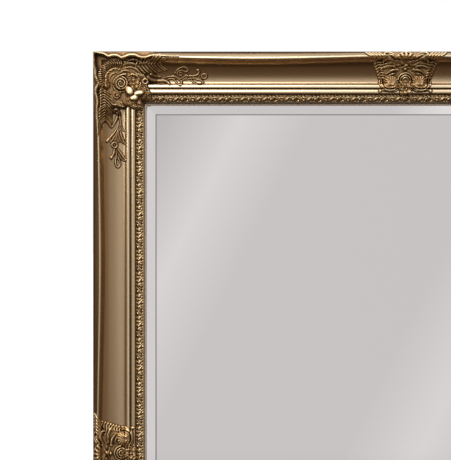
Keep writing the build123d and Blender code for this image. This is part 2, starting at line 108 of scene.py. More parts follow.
def node(tree, kind, settings=None, **links):
    """Adds one node, sets its properties and input values, and links its inputs by name."""
    made = tree.nodes.new(kind)
    for key, value in (settings or {}).items():
        if isinstance(key, int) or key in made.inputs:
            made.inputs[key].default_value = value
        else:
            setattr(made, key, value)
    for key, value in links.items():
        socket = made.inputs[int(key[1:])] if key[0] == "i" and key[1:].isdigit() else made.inputs[key]
        tree.links.new(value, socket)
    return made


def ramp(tree, factor, stops):
    """A colour ramp from (position, hex colour or grey) stops."""
    made = node(tree, "ShaderNodeValToRGB", i0=factor)
    points = made.color_ramp.elements
    while len(points) < len(stops):
        points.new(0.5)
    for point, (position, colour) in zip(points, stops):
        point.position = position
        point.color = linear(colour) if isinstance(colour, str) else (colour, colour, colour, 1)
    return made.outputs[0]


def new_material(name, **settings):
    """A material with one principled shader, and its node tree."""
    material = bpy.data.materials.new(name)
    material.use_nodes = True
    shader = material.node_tree.nodes["Principled BSDF"]
    for key, value in settings.items():
        shader.inputs[key.replace("_", " ")].default_value = value
    return material, material.node_tree, shader


# ======== swept rails =============================================================================
# Softwood moulding covered in gesso and gilded: a raised lip whose edge sweeps in and out between the
# ornaments, a deep scoop, two beads and a seat for the carved band. Mitred, and rebated behind for the glass.
def gilding(name, umber, gold, rubbed, grain_mm, sheen):
    """Antique gilding: imitation gold leaf over gesso, toned with umber and rubbed back.

    The wax stays brown in the hollows, and the high points are burnished pale and smooth. Light and shade are
    also painted in. Painted shade lies on the outer edges, down the steep drop inside the lip's crest, on the
    bare lip round each ribbon and in the wax film round the castings. Painted highlights lie on the crests of
    the lip and beads, on the
    peony's top petals, on the sight fillet and on the inner wall. The attribute read here holds wear and
    painted light:
    0 in a hollow or painted shade, 0.5 on plain work, 1 on a crest or painted highlight."""
    material, tree, shader = new_material(name, Metallic=1.0)
    where = node(tree, "ShaderNodeTexCoord").outputs["Object"]
    wear_and_painted_light = node(tree, "ShaderNodeAttribute", {"attribute_name": "wear_and_painted_light"}).outputs["Fac"]
    # uneven toning, blotches about 60 mm across that run into finer specks of leaf and wax
    blotch = node(tree, "ShaderNodeTexNoise", {"Scale": 1 / (60 * MM), "Detail": 4.0, "Roughness": 0.6},
                  Vector=where)
    speck = node(tree, "ShaderNodeTexNoise", {"Scale": 1 / (grain_mm * MM), "Detail": 3.0}, Vector=where)
    uneven = node(tree, "ShaderNodeMath", {"operation": "MULTIPLY_ADD", 1: 0.10, 2: -0.05},
                  i0=blotch.outputs["Fac"])
    fine = node(tree, "ShaderNodeMath", {"operation": "MULTIPLY_ADD", 1: 0.16, 2: -0.08},
                i0=speck.outputs["Fac"])
    wear_and_light_level = node(tree, "ShaderNodeMath", {"operation": "ADD"}, i0=wear_and_painted_light, i1=uneven.outputs[0])
    wear_and_light_level = node(tree, "ShaderNodeMath", {"operation": "ADD"}, i0=wear_and_light_level.outputs[0],
                i1=fine.outputs[0]).outputs[0]
    colour = ramp(tree, wear_and_light_level, [(0.05, umber), (0.28, "#6e5030"), (0.46, gold), (0.62, gold), (0.92, rubbed)])
    rough = ramp(tree, wear_and_light_level, [(0.1, 0.62), (0.40, sheen + 0.05), (0.9, sheen - 0.05)])
    metal = ramp(tree, wear_and_light_level, [(0.05, 0.4), (0.30, 0.9), (0.45, 1.0)])
    tree.links.new(colour, shader.inputs["Base Color"])
    tree.links.new(rough, shader.inputs["Roughness"])
    tree.links.new(metal, shader.inputs["Metallic"])
    bump = node(tree, "ShaderNodeBump", {"Strength": 0.12, "Distance": 0.3 * MM}, Height=speck.outputs["Fac"])
    tree.links.new(bump.outputs[0], shader.inputs["Normal"])
    return material


leaf_on_wood = gilding("antique gold leaf on gessoed wood", "#2a190c", "#cfb490", "#f3e2bf", 2.5, 0.27)

LIP_CREST, LIP_SWEEP = 5.4, 2.9  # lip's crest in from the edge at an ornament, and how far it sweeps in
SCOOP = [(8.0, 33.4), (10.2, 28.6), (14.5, 25.2), (20.0, 23.0), (25.6, 21.3), (29.5, 20.5), (32.5, 20.25),
         (34.2, 20.6), (35.3, 21.1)]
BEADS = [(35.8, 41.2, 22.9, 3.7), (41.5, 47.5, 23.9, 3.5)]  # (start, end, foot, height)
SWELL = [(0, 0), (0.05, 0.34), (0.12, 0.56), (0.45, 0.79), (0.82, 1.0), (0.92, 0.92), (0.975, 0.6), (1, 0)]
GROOVES = (35.6, 41.35, 47.7)
BAND_IN, SIGHT = 47.9, RAIL  # where the carved band starts, and the sight edge
REBATE, LEDGE = 8.0, 15.0
ORNAMENTS = 4  # the long sides are divided into four bays by their ornaments


def smooth_path(points, steps=12):
    """A smooth curve through the points."""
    p = np.array([points[0], *points, points[-1]], float)
    out = []
    for i in range(1, len(p) - 2):
        for t in np.linspace(0, 1, steps, endpoint=False):
            a, b = 2 * p[i], p[i + 1] - p[i - 1]
            c = 2 * p[i - 1] - 5 * p[i] + 4 * p[i + 1] - p[i + 2]
            d = 3 * p[i] - p[i - 1] - 3 * p[i + 1] + p[i + 2]
            out.append((a + b * t + c * t * t + d * t ** 3) / 2)
    out.append(p[-2])
    return np.array(out)


def crest_at(along, length):
    """How far in the lip's crest runs: it sweeps inwards halfway between one ornament and the next."""
    bays = 2 if length < (WIDTH + HEIGHT) / 2 else ORNAMENTS
    place = (along + length / 2) / length * bays
    return LIP_CREST + LIP_SWEEP * np.sin(np.pi * place) ** 2


def section_points():
    """The moulding's front as (distance in, height), with the lip's crest at its narrowest."""
    points = [(0.3, LIP_FOOT - 1.4), (1.0, LIP_FOOT + 0.2), (2.8, 33.0), (LIP_CREST - 0.8, 35.6)]
    points += [(LIP_CREST, 36.2), (LIP_CREST + 0.9, 36.2), (LIP_CREST + 1.5, 35.4)]
    points += [tuple(point) for point in smooth_path(SCOOP, 3)]
    points += [(GROOVES[0], 21.4)]
    for start, end, foot, height in BEADS:
        points += [(start + (end - start) * across, foot + height * up) for across, up in SWELL]
    points += [(GROOVES[2], 23.0), (SIGHT - 1.6, 20.8), (SIGHT, 19.2)]
    return points


SECTION = section_points()
SECTION_IN = np.array([point[0] for point in SECTION])
SECTION_UP = np.array([point[1] for point in SECTION])


def moulding(inwards, crest):
    """Height of the moulding above the back, where the lip's crest runs so far in."""
    shift = (crest - LIP_CREST) * np.clip((16.0 - inwards) / 8.0, 0, 1) * np.clip(inwards / LIP_CREST, 0, 1)
    return np.interp(inwards - shift, SECTION_IN, SECTION_UP)


def section_wear_and_painted_light():
    """How much wear and painted light each point of the section has: wax in the grooves, painted shade on
    the outer edge and down the drop inside the lip's crest, and burnished crests with painted highlights.
    """
    wear_and_painted_light = []
    for inwards, _ in SECTION:
        value = 0.52
        # painted shade along the outer edge
        if inwards < 1.2:
            value = 0.05
        # the lip's crest: burnished, and a painted highlight
        elif abs(inwards - LIP_CREST) < 0.9:
            value = 0.85
        # painted shade down the steep drop inside the lip's crest
        elif LIP_CREST + 1.2 < inwards < 9.0:
            value = 0.37
        elif min(abs(inwards - groove) for groove in GROOVES) < 0.45:
            value = 0.14
        # the beads' crests: burnished, and a painted highlight
        elif min(abs(inwards - start - 0.55 * (end - start)) for start, end, *_ in BEADS) < 1.5:
            value = 0.88
        wear_and_painted_light.append(value)
    return wear_and_painted_light


def swept_rail(side, step=5.0):
    length = WIDTH if side in ("top", "bottom") else HEIGHT
    front = [(inwards, up, wear_and_light_level) for (inwards, up), wear_and_light_level in zip(SECTION, section_wear_and_painted_light())]
    # painted light: the inner wall of the sight edge is painted pale down to the rebate ledge; the rebate and
    # the back are dark brown
    behind = [(SIGHT, LEDGE, 0.95), (SIGHT - REBATE, LEDGE, 0.2), (SIGHT - REBATE, 0.0, 0.15),
              (0.3, 0.0, 0.15)]
    loop = front + behind
    stations = int(length / step)
    bm = bmesh.new()
    wear_and_painted_light = bm.verts.layers.float.new("wear_and_painted_light")
    bmesh.ops.create_grid(bm, x_segments=stations, y_segments=len(loop), size=0.5)
    for vert in bm.verts:
        share = vert.co.x + 0.5
        inwards, up, wear_and_light_level = loop[round((vert.co.y + 0.5) * len(loop)) % len(loop)]
        full = (share - 0.5) * length
        shift = (crest_at(full, length) - LIP_CREST) if LEDGE < up else 0.0
        if inwards > 0.5:
            inwards += shift * min(max((16.0 - inwards) / 8.0, 0), 1) * min(inwards / LIP_CREST, 1)
        # the lip is cut away under the corner ornament
        if 1.5 < inwards < 12.0:
            up -= max(up - 29.5, 0) * min(max((68.0 - length / 2 + abs(full)) / 5.0, 0), 1)
        along = (share - 0.5) * (length - 2 * inwards)
        vert.co = (along, up, inwards)
        vert[wear_and_painted_light] = wear_and_light_level
    bmesh.ops.remove_doubles(bm, verts=bm.verts, dist=0.001)
    bmesh.ops.holes_fill(bm, edges=[edge for edge in bm.edges if edge.is_boundary], sides=0)
    bmesh.ops.recalc_face_normals(bm, faces=bm.faces)
    mesh = bpy.data.meshes.new("rail")
    bm.to_mesh(mesh)
    bm.free()
    name = f"swept_rail_{side}"
    finished(name, mesh, side_matrix(side), [leaf_on_wood], "frame", [f"{side}_rail"], 50)


for side in ("top", "right", "bottom", "left"):
    swept_rail(side)


# ======== relief carving ==========================================================================
# The ornaments and bands are cast composition pressed in carved moulds, so each is one continuous relief:
# tapered strokes, leaves, petals and beads that rise from a ground and run into one another.
class Relief:
    """A height field in millimetres over a rectangle: x along, y inwards."""

    def __init__(self, x0, x1, y0, y1, pitch=0.5):
        self.pitch = pitch
        self.nx, self.ny = round((x1 - x0) / pitch), round((y1 - y0) / pitch)
        self.x, self.y = np.meshgrid(np.linspace(x0, x1, self.nx + 1), np.linspace(y0, y1, self.ny + 1))
        self.up = np.full(self.x.shape, -1.2)
        self.bright = np.zeros(self.x.shape)  # where the leaf is burnished pale, and where highlights are painted
        self.painted_shade = np.zeros(self.x.shape)  # where shade is painted darker
        self.within = np.ones(self.x.shape, bool)  # where the casting may lie

    def window(self, path, reach):
        low, high = path.min(axis=0) - reach, path.max(axis=0) + reach
        x, y = self.x[0], self.y[:, 0]
        cols = np.searchsorted(x, low[0]), np.searchsorted(x, high[0])
        rows = np.searchsorted(y, low[1]), np.searchsorted(y, high[1])
        return slice(*rows), slice(*cols)

    def stroke(self, points, width, height, taper=(0.3, 0.2), base=0.0, bright=0.0):
        """A rounded ridge along a smooth line, which swells from taper[0] of its size and sinks to taper[1]."""
        path = smooth_path(points, 8)
        at = self.window(path, width + 0.6)
        x, y = self.x[at], self.y[at]
        if not x.size:
            return
        t = np.linspace(0, 1, len(path))
        swell = np.where(t < 0.45, taper[0] + (1 - taper[0]) * np.sin(t / 0.45 * np.pi / 2),
                         taper[1] + (1 - taper[1]) * np.cos((t - 0.45) / 0.55 * np.pi / 2))
        best = np.full(x.shape, -1.2)
        for (px, py), s in zip(path, swell):
            d = ((x - px) ** 2 + (y - py) ** 2) / (width * s) ** 2
            inside = d < 1
            rounded = base + height * (0.45 + 0.55 * s) * np.where(inside, 1 - d, 0) ** 0.7
            self.bright[at] = np.maximum(self.bright[at], np.where(d < 0.6, bright, 0))
            best = np.where(inside & (rounded > best), rounded, best)
        self.up[at] = np.maximum(self.up[at], best)

    def dome(self, cx, cy, rx, ry, height, base=0.0, turn=0.0, power=0.5, lean=(0, 0), bright=0.0):
        """A rounded swelling; power shapes its shoulder, and lean tips its top."""
        at = self.window(np.array([[cx, cy]]), max(rx, ry) + 1)
        x, y = self.x[at] - cx, self.y[at] - cy
        c, s = math.cos(turn), math.sin(turn)
        d = ((x * c + y * s) / rx) ** 2 + ((y * c - x * s) / ry) ** 2
        lifted = np.where(d < 1, base + height * np.clip(1 - d, 0, 1) ** power + x * lean[0] + y * lean[1],
                          -1.2)
        self.bright[at] = np.maximum(self.bright[at], np.where(d < 0.8, bright, 0))
        self.up[at] = np.maximum(self.up[at], lifted)

    def arc(self, cx, cy, radius, start, end, width, height, taper=(0.5, 0.5), base=0.0, shrink=1.0):
        """A ridge round a centre, in degrees; shrink makes it a spiral."""
        angles = np.radians(np.linspace(start, end, max(6, int(abs(end - start) / 22))))
        size = radius * np.linspace(1, shrink, len(angles))
        points = [(cx + r * math.cos(a), cy - r * math.sin(a)) for a, r in zip(angles, size)]
        self.stroke(points, width, height, taper, base)

    def feather(self, spine, count, reach, angle, width, height, base=0.0):
        """A leaf of curved barbs that lie forwards from both sides of a spine, on a low swelling.

        reach and angle are given for the left and the right side of the spine's direction."""
        path = smooth_path(spine, 16)
        self.stroke(spine, 0.62 * min(reach), height * 0.35, (0.7, 0.5), base - 0.5)
        for side, length, lean in ((1, reach[0], angle[0]), (-1, reach[1], angle[1])):
            for k in range(count):
                t = (k + 0.5) / count
                i = min(int(t * (len(path) - 1)), len(path) - 2)
                ahead = path[i + 1] - path[i]
                ahead = ahead / np.linalg.norm(ahead)
                out = side * np.array([ahead[1], -ahead[0]])
                a = math.radians(lean * (1.1 - 0.45 * t))
                far = length * (0.55 + 0.5 * math.sin(math.pi * (0.15 + 0.62 * t)))
                way = ahead * math.cos(a) + out * math.sin(a)
                knee = path[i] + way * far * 0.5 + out * far * 0.07
                self.stroke([path[i], knee, path[i] + way * far], width, height, (0.75, 0.5), base)

    def hook(self, points, width, height, end_radius, base=0.0):
        """A burnished stem that ends in a small round knob."""
        self.stroke(points, width, height, (0.5, 0.7), base, 0.85)
        self.dome(*points[-1], end_radius, end_radius, height * 1.15, base)


def shaped(values, radius):
    """The mean over a square window, for finding hollows and crests."""
    padded = np.pad(values, radius, mode="edge")
    total = np.cumsum(np.cumsum(padded, axis=0), axis=1)
    total = np.pad(total, ((1, 0), (1, 0)))
    n = 2 * radius + 1
    return (total[n:, n:] - total[:-n, n:] - total[n:, :-n] + total[:-n, :-n]) / n ** 2


def grown(mask, cells):
    """The mask made wider by so many cells, or narrower if cells is negative."""
    mask = mask if cells >= 0 else ~mask
    for _ in range(abs(cells)):
        wide = np.pad(mask, 1)
        mask = wide[1:-1, 1:-1] | wide[:-2, 1:-1] | wide[2:, 1:-1] | wide[1:-1, :-2] | wide[1:-1, 2:]
    return mask if cells >= 0 else ~mask


def cast(relief, ground, sink=0.9, wear_and_light_level=0.55, wax=2, root=16.0):
    """The relief as a closed casting on its ground, cut out round its strokes, its foot sunk in the rail.

    A dark film is left all round where the casting meets the rail: brown wax in that corner, and painted shade."""
    wanted = relief.up > -0.5
    filmed = grown(wanted, wax)
    kept = grown(grown(filmed, 3), -2) & relief.within
    up = np.where(wanted, relief.up, np.where(filmed, 0.12, -sink))
    total = ground + up
    contrast = (total - shaped(total, 3)) * 0.26 + (total - shaped(total, 7)) * 0.10
    wear_and_painted_light = np.clip(wear_and_light_level + contrast - relief.painted_shade, 0.02, 1.0)
    # the film round the casting is dark: wax, and painted shade where it meets the rail
    wear_and_painted_light = np.where(wanted, wear_and_painted_light, 0.12)
    wear_and_painted_light = np.maximum(wear_and_painted_light, relief.bright)
    bm = bmesh.new()
    layer = bm.verts.layers.float.new("wear_and_painted_light")
    bmesh.ops.create_grid(bm, x_segments=relief.nx, y_segments=relief.ny, size=0.5)
    dropped = []
    for vert in bm.verts:
        i = round((vert.co.x + 0.5) * relief.nx)
        j = round((vert.co.y + 0.5) * relief.ny)
        vert[layer] = wear_and_painted_light[j, i]
        vert.co = (relief.x[j, i], total[j, i], relief.y[j, i])
        if not kept[j, i]:
            dropped.append(vert)
    bmesh.ops.delete(bm, geom=dropped, context="VERTS")
    loose = [vert for vert in bm.verts if not vert.link_faces]
    bmesh.ops.delete(bm, geom=loose, context="VERTS")
    rim = [edge for edge in bm.edges if edge.is_boundary]
    skirt = bmesh.ops.extrude_edge_only(bm, edges=rim)["geom"]
    for vert in skirt:
        if isinstance(vert, bmesh.types.BMVert):
            vert.co.y = root
    rim = [edge for edge in bm.edges if edge.is_boundary]
    bmesh.ops.holes_fill(bm, edges=rim, sides=0)
    bmesh.ops.recalc_face_normals(bm, faces=bm.faces)
    mesh = bpy.data.meshes.new("casting")
    bm.to_mesh(mesh)
    bm.free()
    return mesh


# ======== carved sight band =======================================================================
# A cast strip glued beside the inner bead: scrolls that turn up and down by turns, with a bead between
# them, and a plain fillet along the sight edge.
SCROLL = 12.4  # length of one scroll
cast_gold = gilding("antique gold leaf on cast composition", "#2a190c", "#b8976c", "#ecd6ab", 1.2, 0.42)


def carved_band(side):
    length = WIDTH if side in ("top", "bottom") else HEIGHT
    half = length / 2 - SIGHT - 0.2
    reach = length / 2 - BAND_IN
    relief = Relief(-reach, reach, BAND_IN, SIGHT - 0.4, 0.6)
    relief.up[:] = 0.0
    count = round(2 * half / SCROLL)
    pitch = 2 * half / count
    middle = (BAND_IN + SIGHT) / 2 + 0.1
    for k in range(-1, count + 1):
        x, flip = -half + (k + 0.5) * pitch, 1 if k % 2 else -1
        start = 200 if flip > 0 else 160
        relief.arc(x - 1.0, middle + 0.4 * flip, 3.1, start, start - flip * 330, 1.05, 1.15, (0.5, 0.9), 0.0,
                   0.35)
        relief.stroke([(x + 1.5, middle - 2.6 * flip), (x + 4.0, middle - 1.0 * flip),
                       (x + pitch - 4.4, middle + 2.4 * flip)], 1.1, 1.1, (0.5, 0.5), 0.0)
        relief.dome(x + pitch / 2 - 0.9, middle + 2.9 * flip, 1.15, 1.15, 1.3, 0.1)
        relief.dome(x - 1.0, middle + 0.4 * flip, 1.0, 1.0, 1.2, 0.1)
    ground = np.interp(relief.y, [BAND_IN, 48.6, 51.0, 54.2, 56.3, SIGHT],
                       [23.2, 23.6, 23.9, 23.2, 22.3, 20.2])
    # painted highlight: the fillet along the sight edge is painted pale
    relief.bright = np.where(relief.y > 55.3, 0.9, relief.bright)
    # a row of small pits between the scrolls and the fillet
    pits = (np.exp(-((relief.y - 54.4) / 0.8) ** 2)
            * (0.5 + 0.5 * np.cos(2 * np.pi * relief.x / (pitch / 4))) ** 2)
    nicks = (np.exp(-((relief.y - 49.6) / 0.9) ** 2)
             * (0.5 + 0.5 * np.cos(2 * np.pi * relief.x / (pitch / 3))) ** 2)
    relief.up = relief.up - 1.1 * pits - 0.8 * nicks
    inside = np.abs(relief.x) <= length / 2 - relief.y
    relief.up = np.where(inside, relief.up, -1.2)
    mesh = cast(relief, ground, sink=1.2, wear_and_light_level=0.60, wax=0, root=18.0)
    finished(f"scroll_band_{side}", mesh, side_matrix(side), [cast_gold], "frame",
             [f"carved_band_{side}"], 60)


for side in ("top", "right", "bottom", "left"):
    carved_band(side)


# ======== corner ornaments ========================================================================
# One casting over each mitre: a gadrooned shell round the outer corner, a volute, a peony over the beads, a
# feathered leaf along each lip, and a spray of stems, leaves and buds that runs down each rail.
CORNER = 134.0  # reach of the ornament along each rail

TOP_RIBBON = [(1.6, 1.6), (7, 2.4), (12.6, 3.6), (17.6, 6.2), (22, 5.0), (27, 5.2), (32.4, 7.9),
              (36.4, 6.6), (41, 4.8), (47, 4.7), (51.2, 6.5), (55.4, 7.6), (59.8, 7.4), (64.6, 5.6),
              (69, 4.6), (76, 4.9), (84, 5.5), (96, 5.8)]
LEFT_RIBBON = [(1.6, 1.6), (1.6, 9), (2.0, 16), (3.2, 21.6), (3.2, 26), (4.0, 30), (5.4, 33.4), (6.7, 36.7),
               (5.2, 39.6), (3.7, 42.4), (3.5, 46), (4.4, 50.8), (5.4, 55.5), (5.3, 60), (4.7, 66),
               (4.6, 74), (5.4, 84), (5.6, 94)]


def ribbon_at(x, y):
    """How far in from the outer edge the wavy ribbon runs, on whichever arm a point is nearer."""
    top = np.interp(x, [u for u, v in TOP_RIBBON], [v for u, v in TOP_RIBBON])
    left = np.interp(y, [v for u, v in LEFT_RIBBON], [u for u, v in LEFT_RIBBON])
    return np.where(y < x, top, left)


def scalloped_lip(relief):
    """The lip breaks into a wavy burnished ribbon beside the corner, different on each arm."""
    relief.stroke(TOP_RIBBON, 1.8, 1.9, (0.8, 0.5), 0.2, 1.0)
    relief.stroke(LEFT_RIBBON, 1.8, 1.9, (0.8, 0.5), 0.2, 1.0)
    relief.stroke([(44, 8.4), (48, 9.4), (52.6, 11.6), (57, 12.8), (62, 11.6), (66, 8.6)], 1.1, 1.8,
                  (0.5, 0.5), 0.6, 0.7)


def shell_fan(relief, cx, cy, inner, outer, start, end, ribs, base):
    """Radial ribs round an arc, with a rolled rim inside."""
    for angle in np.radians(np.linspace(start, end, ribs)):
        c, s = math.cos(angle), -math.sin(angle)
        lean = 0.10
        c2, s2 = math.cos(angle + lean), -math.sin(angle + lean)
        relief.stroke([(cx + inner * c, cy + inner * s),
                       (cx + (inner + outer) / 2 * c, cy + (inner + outer) / 2 * s),
                       (cx + outer * c2, cy + outer * s2)], 1.0, 2.2, (0.7, 0.9), base)
    relief.arc(cx, cy, inner - 2.0, start, end, 0.8, 1.6, (0.8, 0.8), base - 0.2)


def volute(relief, cx, cy, radius, turns, start, base, width=1.25):
    """A spiral scroll on a low boss."""
    relief.dome(cx, cy, radius + 0.8, radius + 0.8, 2.2, base)
    relief.arc(cx, cy, radius, start, start - 360 * turns, width, 4.4, (0.9, 0.7), base, 0.14)
    relief.dome(cx, cy, 1.2, 1.2, 4.6, base)


def peony(relief, cx, cy, radius, base, petals=(9, 7, 5), turn=0.0):
    """Rings of cupped petals, higher towards the middle."""
    relief.dome(cx, cy, radius, radius, 3.2, base)
    for ring, count in enumerate(petals):
        r = radius * (0.84 - 0.29 * ring)
        size = r * 0.62 * math.sin(math.pi / count) * 2.1
        for k in range(count):
            a = turn + ring * 0.4 + 2 * math.pi * k / count
            px, py = cx + r * math.cos(a), cy - r * math.sin(a)
            lift = base + 1.5 * ring
            face = math.degrees(a)
            relief.dome(px, py, size * 0.62, size * 0.62, 2.4, lift)
            relief.arc(px, py, size * 0.62, face - 105, face + 105, 0.85, 3.6, (0.5, 0.5), lift)
    relief.dome(cx, cy, radius * 0.2, radius * 0.2, 2.6, base + 4.0)


def top_arm(relief):
    """Leaf and spray along the top or bottom rail."""
    relief.feather([(47, 18.0), (57, 16.0), (67, 14.6), (76, 14.2)], 9, (10.5, 11.5), (52, 56), 1.05, 2.2,
                   0.7)
    relief.stroke([(38, 12), (44, 9.4), (50, 10.4), (54.5, 13.0), (60, 12.8), (65, 9.0)], 1.3, 2.4,
                  (0.4, 0.7), 0.9)
    relief.stroke([(34, 15.5), (40, 13.4), (46, 14.0), (51, 18.0)], 1.4, 2.4, (0.5, 0.5), 0.9)
    relief.stroke([(35, 19.5), (41, 17.6), (47, 19.4), (52, 23.4)], 1.3, 2.2, (0.5, 0.5), 0.8)
    relief.dome(37.0, 12.4, 3.0, 1.6, 2.6, 0.9, 0.1)
    for k in range(5):  # a small ribbed shell under the leaf
        relief.stroke([(46.5 + 2.3 * k, 23.0 + 0.6 * k), (49.4 + 2.1 * k, 26.0 + 0.7 * k),
                       (51.0 + 1.9 * k, 29.6 + 0.6 * k)], 0.8, 1.9, (0.6, 0.6), 1.0)
    relief.arc(58.5, 33.6, 2.7, 10, 345, 1.05, 2.4, (0.8, 0.8), 0.7)
    # bright stem that swells and hooks over the bead
    relief.dome(65.1, 25.3, 1.7, 1.6, 2.4, 0.2)
    relief.stroke([(65, 25.4), (70, 27.0), (77, 27.6)], 1.3, 1.6, (0.8, 0.3))
    relief.hook([(61.6, 28.0), (65.0, 30.8), (71.6, 32.0), (79.0, 32.0), (83.0, 33.4), (86.0, 36.2)], 1.9,
                3.2, 1.2)
    # stems, two looped leaves and a bud
    relief.stroke([(80, 28.6), (86, 27.4), (91, 27.4), (95, 29.6), (99, 33.0)], 1.1, 1.9, (0.4, 0.8))
    relief.stroke([(82, 31.0), (88, 29.8), (93, 30.6)], 0.9, 1.6, (0.5, 0.5))
    relief.stroke([(90.0, 30.2), (92.6, 33.6), (95.6, 36.4), (98.0, 37.4), (99.6, 35.4), (98.4, 32.6),
                   (95.6, 30.2)],
                  0.95, 2.1, (0.7, 0.9))
    relief.dome(98.4, 35.0, 1.5, 2.2, 2.3, 0.0, 0.5)
    relief.stroke([(91.5, 24.5), (94.0, 20.4), (98.0, 17.9), (102.4, 17.2), (105.6, 18.6), (106.2, 21.2),
                   (104.0, 22.2),
                   (100.6, 21.0), (96.6, 21.2), (93.8, 24.6)], 0.95, 2.0, (0.5, 0.7))
    relief.arc(98.0, 24.8, 1.7, 0, 330, 0.75, 1.8, (0.9, 0.9))
    relief.stroke([(97.0, 30.0), (100.6, 28.6), (103.4, 26.4), (105.0, 24.8)], 0.95, 1.9, (0.6, 0.6))
    relief.stroke([(98.6, 32.4), (102.4, 30.0), (106.2, 27.2)], 0.9, 1.9, (0.6, 0.8))
    relief.dome(105.6, 26.8, 1.7, 1.4, 2.1)
    relief.stroke([(105, 27.0), (109, 26.7), (113.8, 26.6), (117.2, 25.2), (118.9, 22.6), (117.8, 20.6)],
                  1.05, 2.1, (0.7, 0.9))
    relief.dome(117.6, 20.6, 1.8, 1.5, 2.5)
    relief.stroke([(103.0, 31.0), (109, 29.6), (116, 29.4), (121.6, 30.6)], 1.0, 1.8, (0.5, 0.5))
    relief.arc(124.4, 27.2, 2.7, 215, -135, 1.0, 2.2, (0.8, 0.8))
    relief.stroke([(109.6, 30.6), (112.6, 34.0), (117.6, 36.2), (121.8, 36.0), (123.2, 33.8), (120.2, 31.6),
                   (115.6, 30.6)], 1.0, 2.0, (0.6, 0.8))


def left_arm(relief):
    """Leaf and spray down the left or right rail."""
    relief.feather([(11.0, 42), (12.6, 54), (13.2, 66), (13.8, 77)], 13, (12.0, 7.6), (44, 62), 0.95, 2.2,
                   0.7)
    relief.stroke([(8.6, 47.5), (9.0, 54), (8.4, 60), (7.8, 66)], 1.0, 2.3, (0.5, 0.6), 0.7)
    # hooped stem whose legs part, a bell of leaves with a ring under it, and a bud of three lobes
    relief.stroke([(23.4, 68.0), (24.2, 65.6), (26.0, 64.8), (28.0, 66.4), (29.4, 70), (30.0, 77), (31.0, 83),
                   (33.0, 87.0), (36.2, 89.4)], 1.05, 2.1, (0.7, 0.6))
    relief.stroke([(26.8, 68.6), (26.4, 74), (24.0, 79.6), (20.8, 84.6)], 1.35, 2.2, (0.6, 0.7))
    relief.stroke([(27.2, 83), (25.0, 88.6), (20.4, 94.6), (15.4, 100.4)], 1.1, 2.2, (0.6, 0.9))
    relief.stroke([(28.0, 84), (26.2, 91), (22.8, 97), (19.4, 101.6)], 0.9, 1.9, (0.6, 0.7))
    relief.stroke([(27.8, 86.4), (28.2, 93), (30.2, 98.4), (33.0, 102.6)], 0.95, 2.1, (0.7, 0.6))
    relief.stroke([(29.6, 87.6), (31.4, 94), (33.6, 99.6), (35.4, 103.4)], 1.1, 2.2, (0.6, 0.8))
    relief.stroke([(27.0, 88), (26.4, 94), (24.8, 99.6)], 0.9, 1.9, (0.6, 0.6))
    relief.dome(27.0, 96.0, 6.4, 6.0, 0.9, -0.1)
    relief.dome(15.6, 100.4, 1.5, 1.3, 2.2)
    relief.arc(23.8, 104.6, 2.9, 80, 430, 1.0, 2.3, (0.9, 0.9))
    relief.dome(23.8, 104.6, 1.0, 1.0, 1.6)
    relief.stroke([(23.6, 108.0), (23.2, 113), (21.6, 117), (20.0, 120.0)], 1.3, 2.2, (0.6, 0.8))
    relief.dome(20.2, 119.0, 1.5, 2.0, 2.4)
    relief.stroke([(25.6, 109.0), (25.8, 116), (24.8, 123.6), (26.0, 128.6), (28.6, 129.2), (30.0, 125.2),
                   (28.2, 120.0)], 1.0, 2.1, (0.6, 0.9))
    relief.stroke([(27.4, 108.6), (30.6, 113.6), (34.0, 118.4), (36.0, 121.8)], 1.25, 2.2, (0.5, 0.7))
    relief.stroke([(26.6, 111.0), (29.2, 116.4), (32.0, 120.6), (35.2, 122.4)], 0.9, 1.8, (0.6, 0.6))


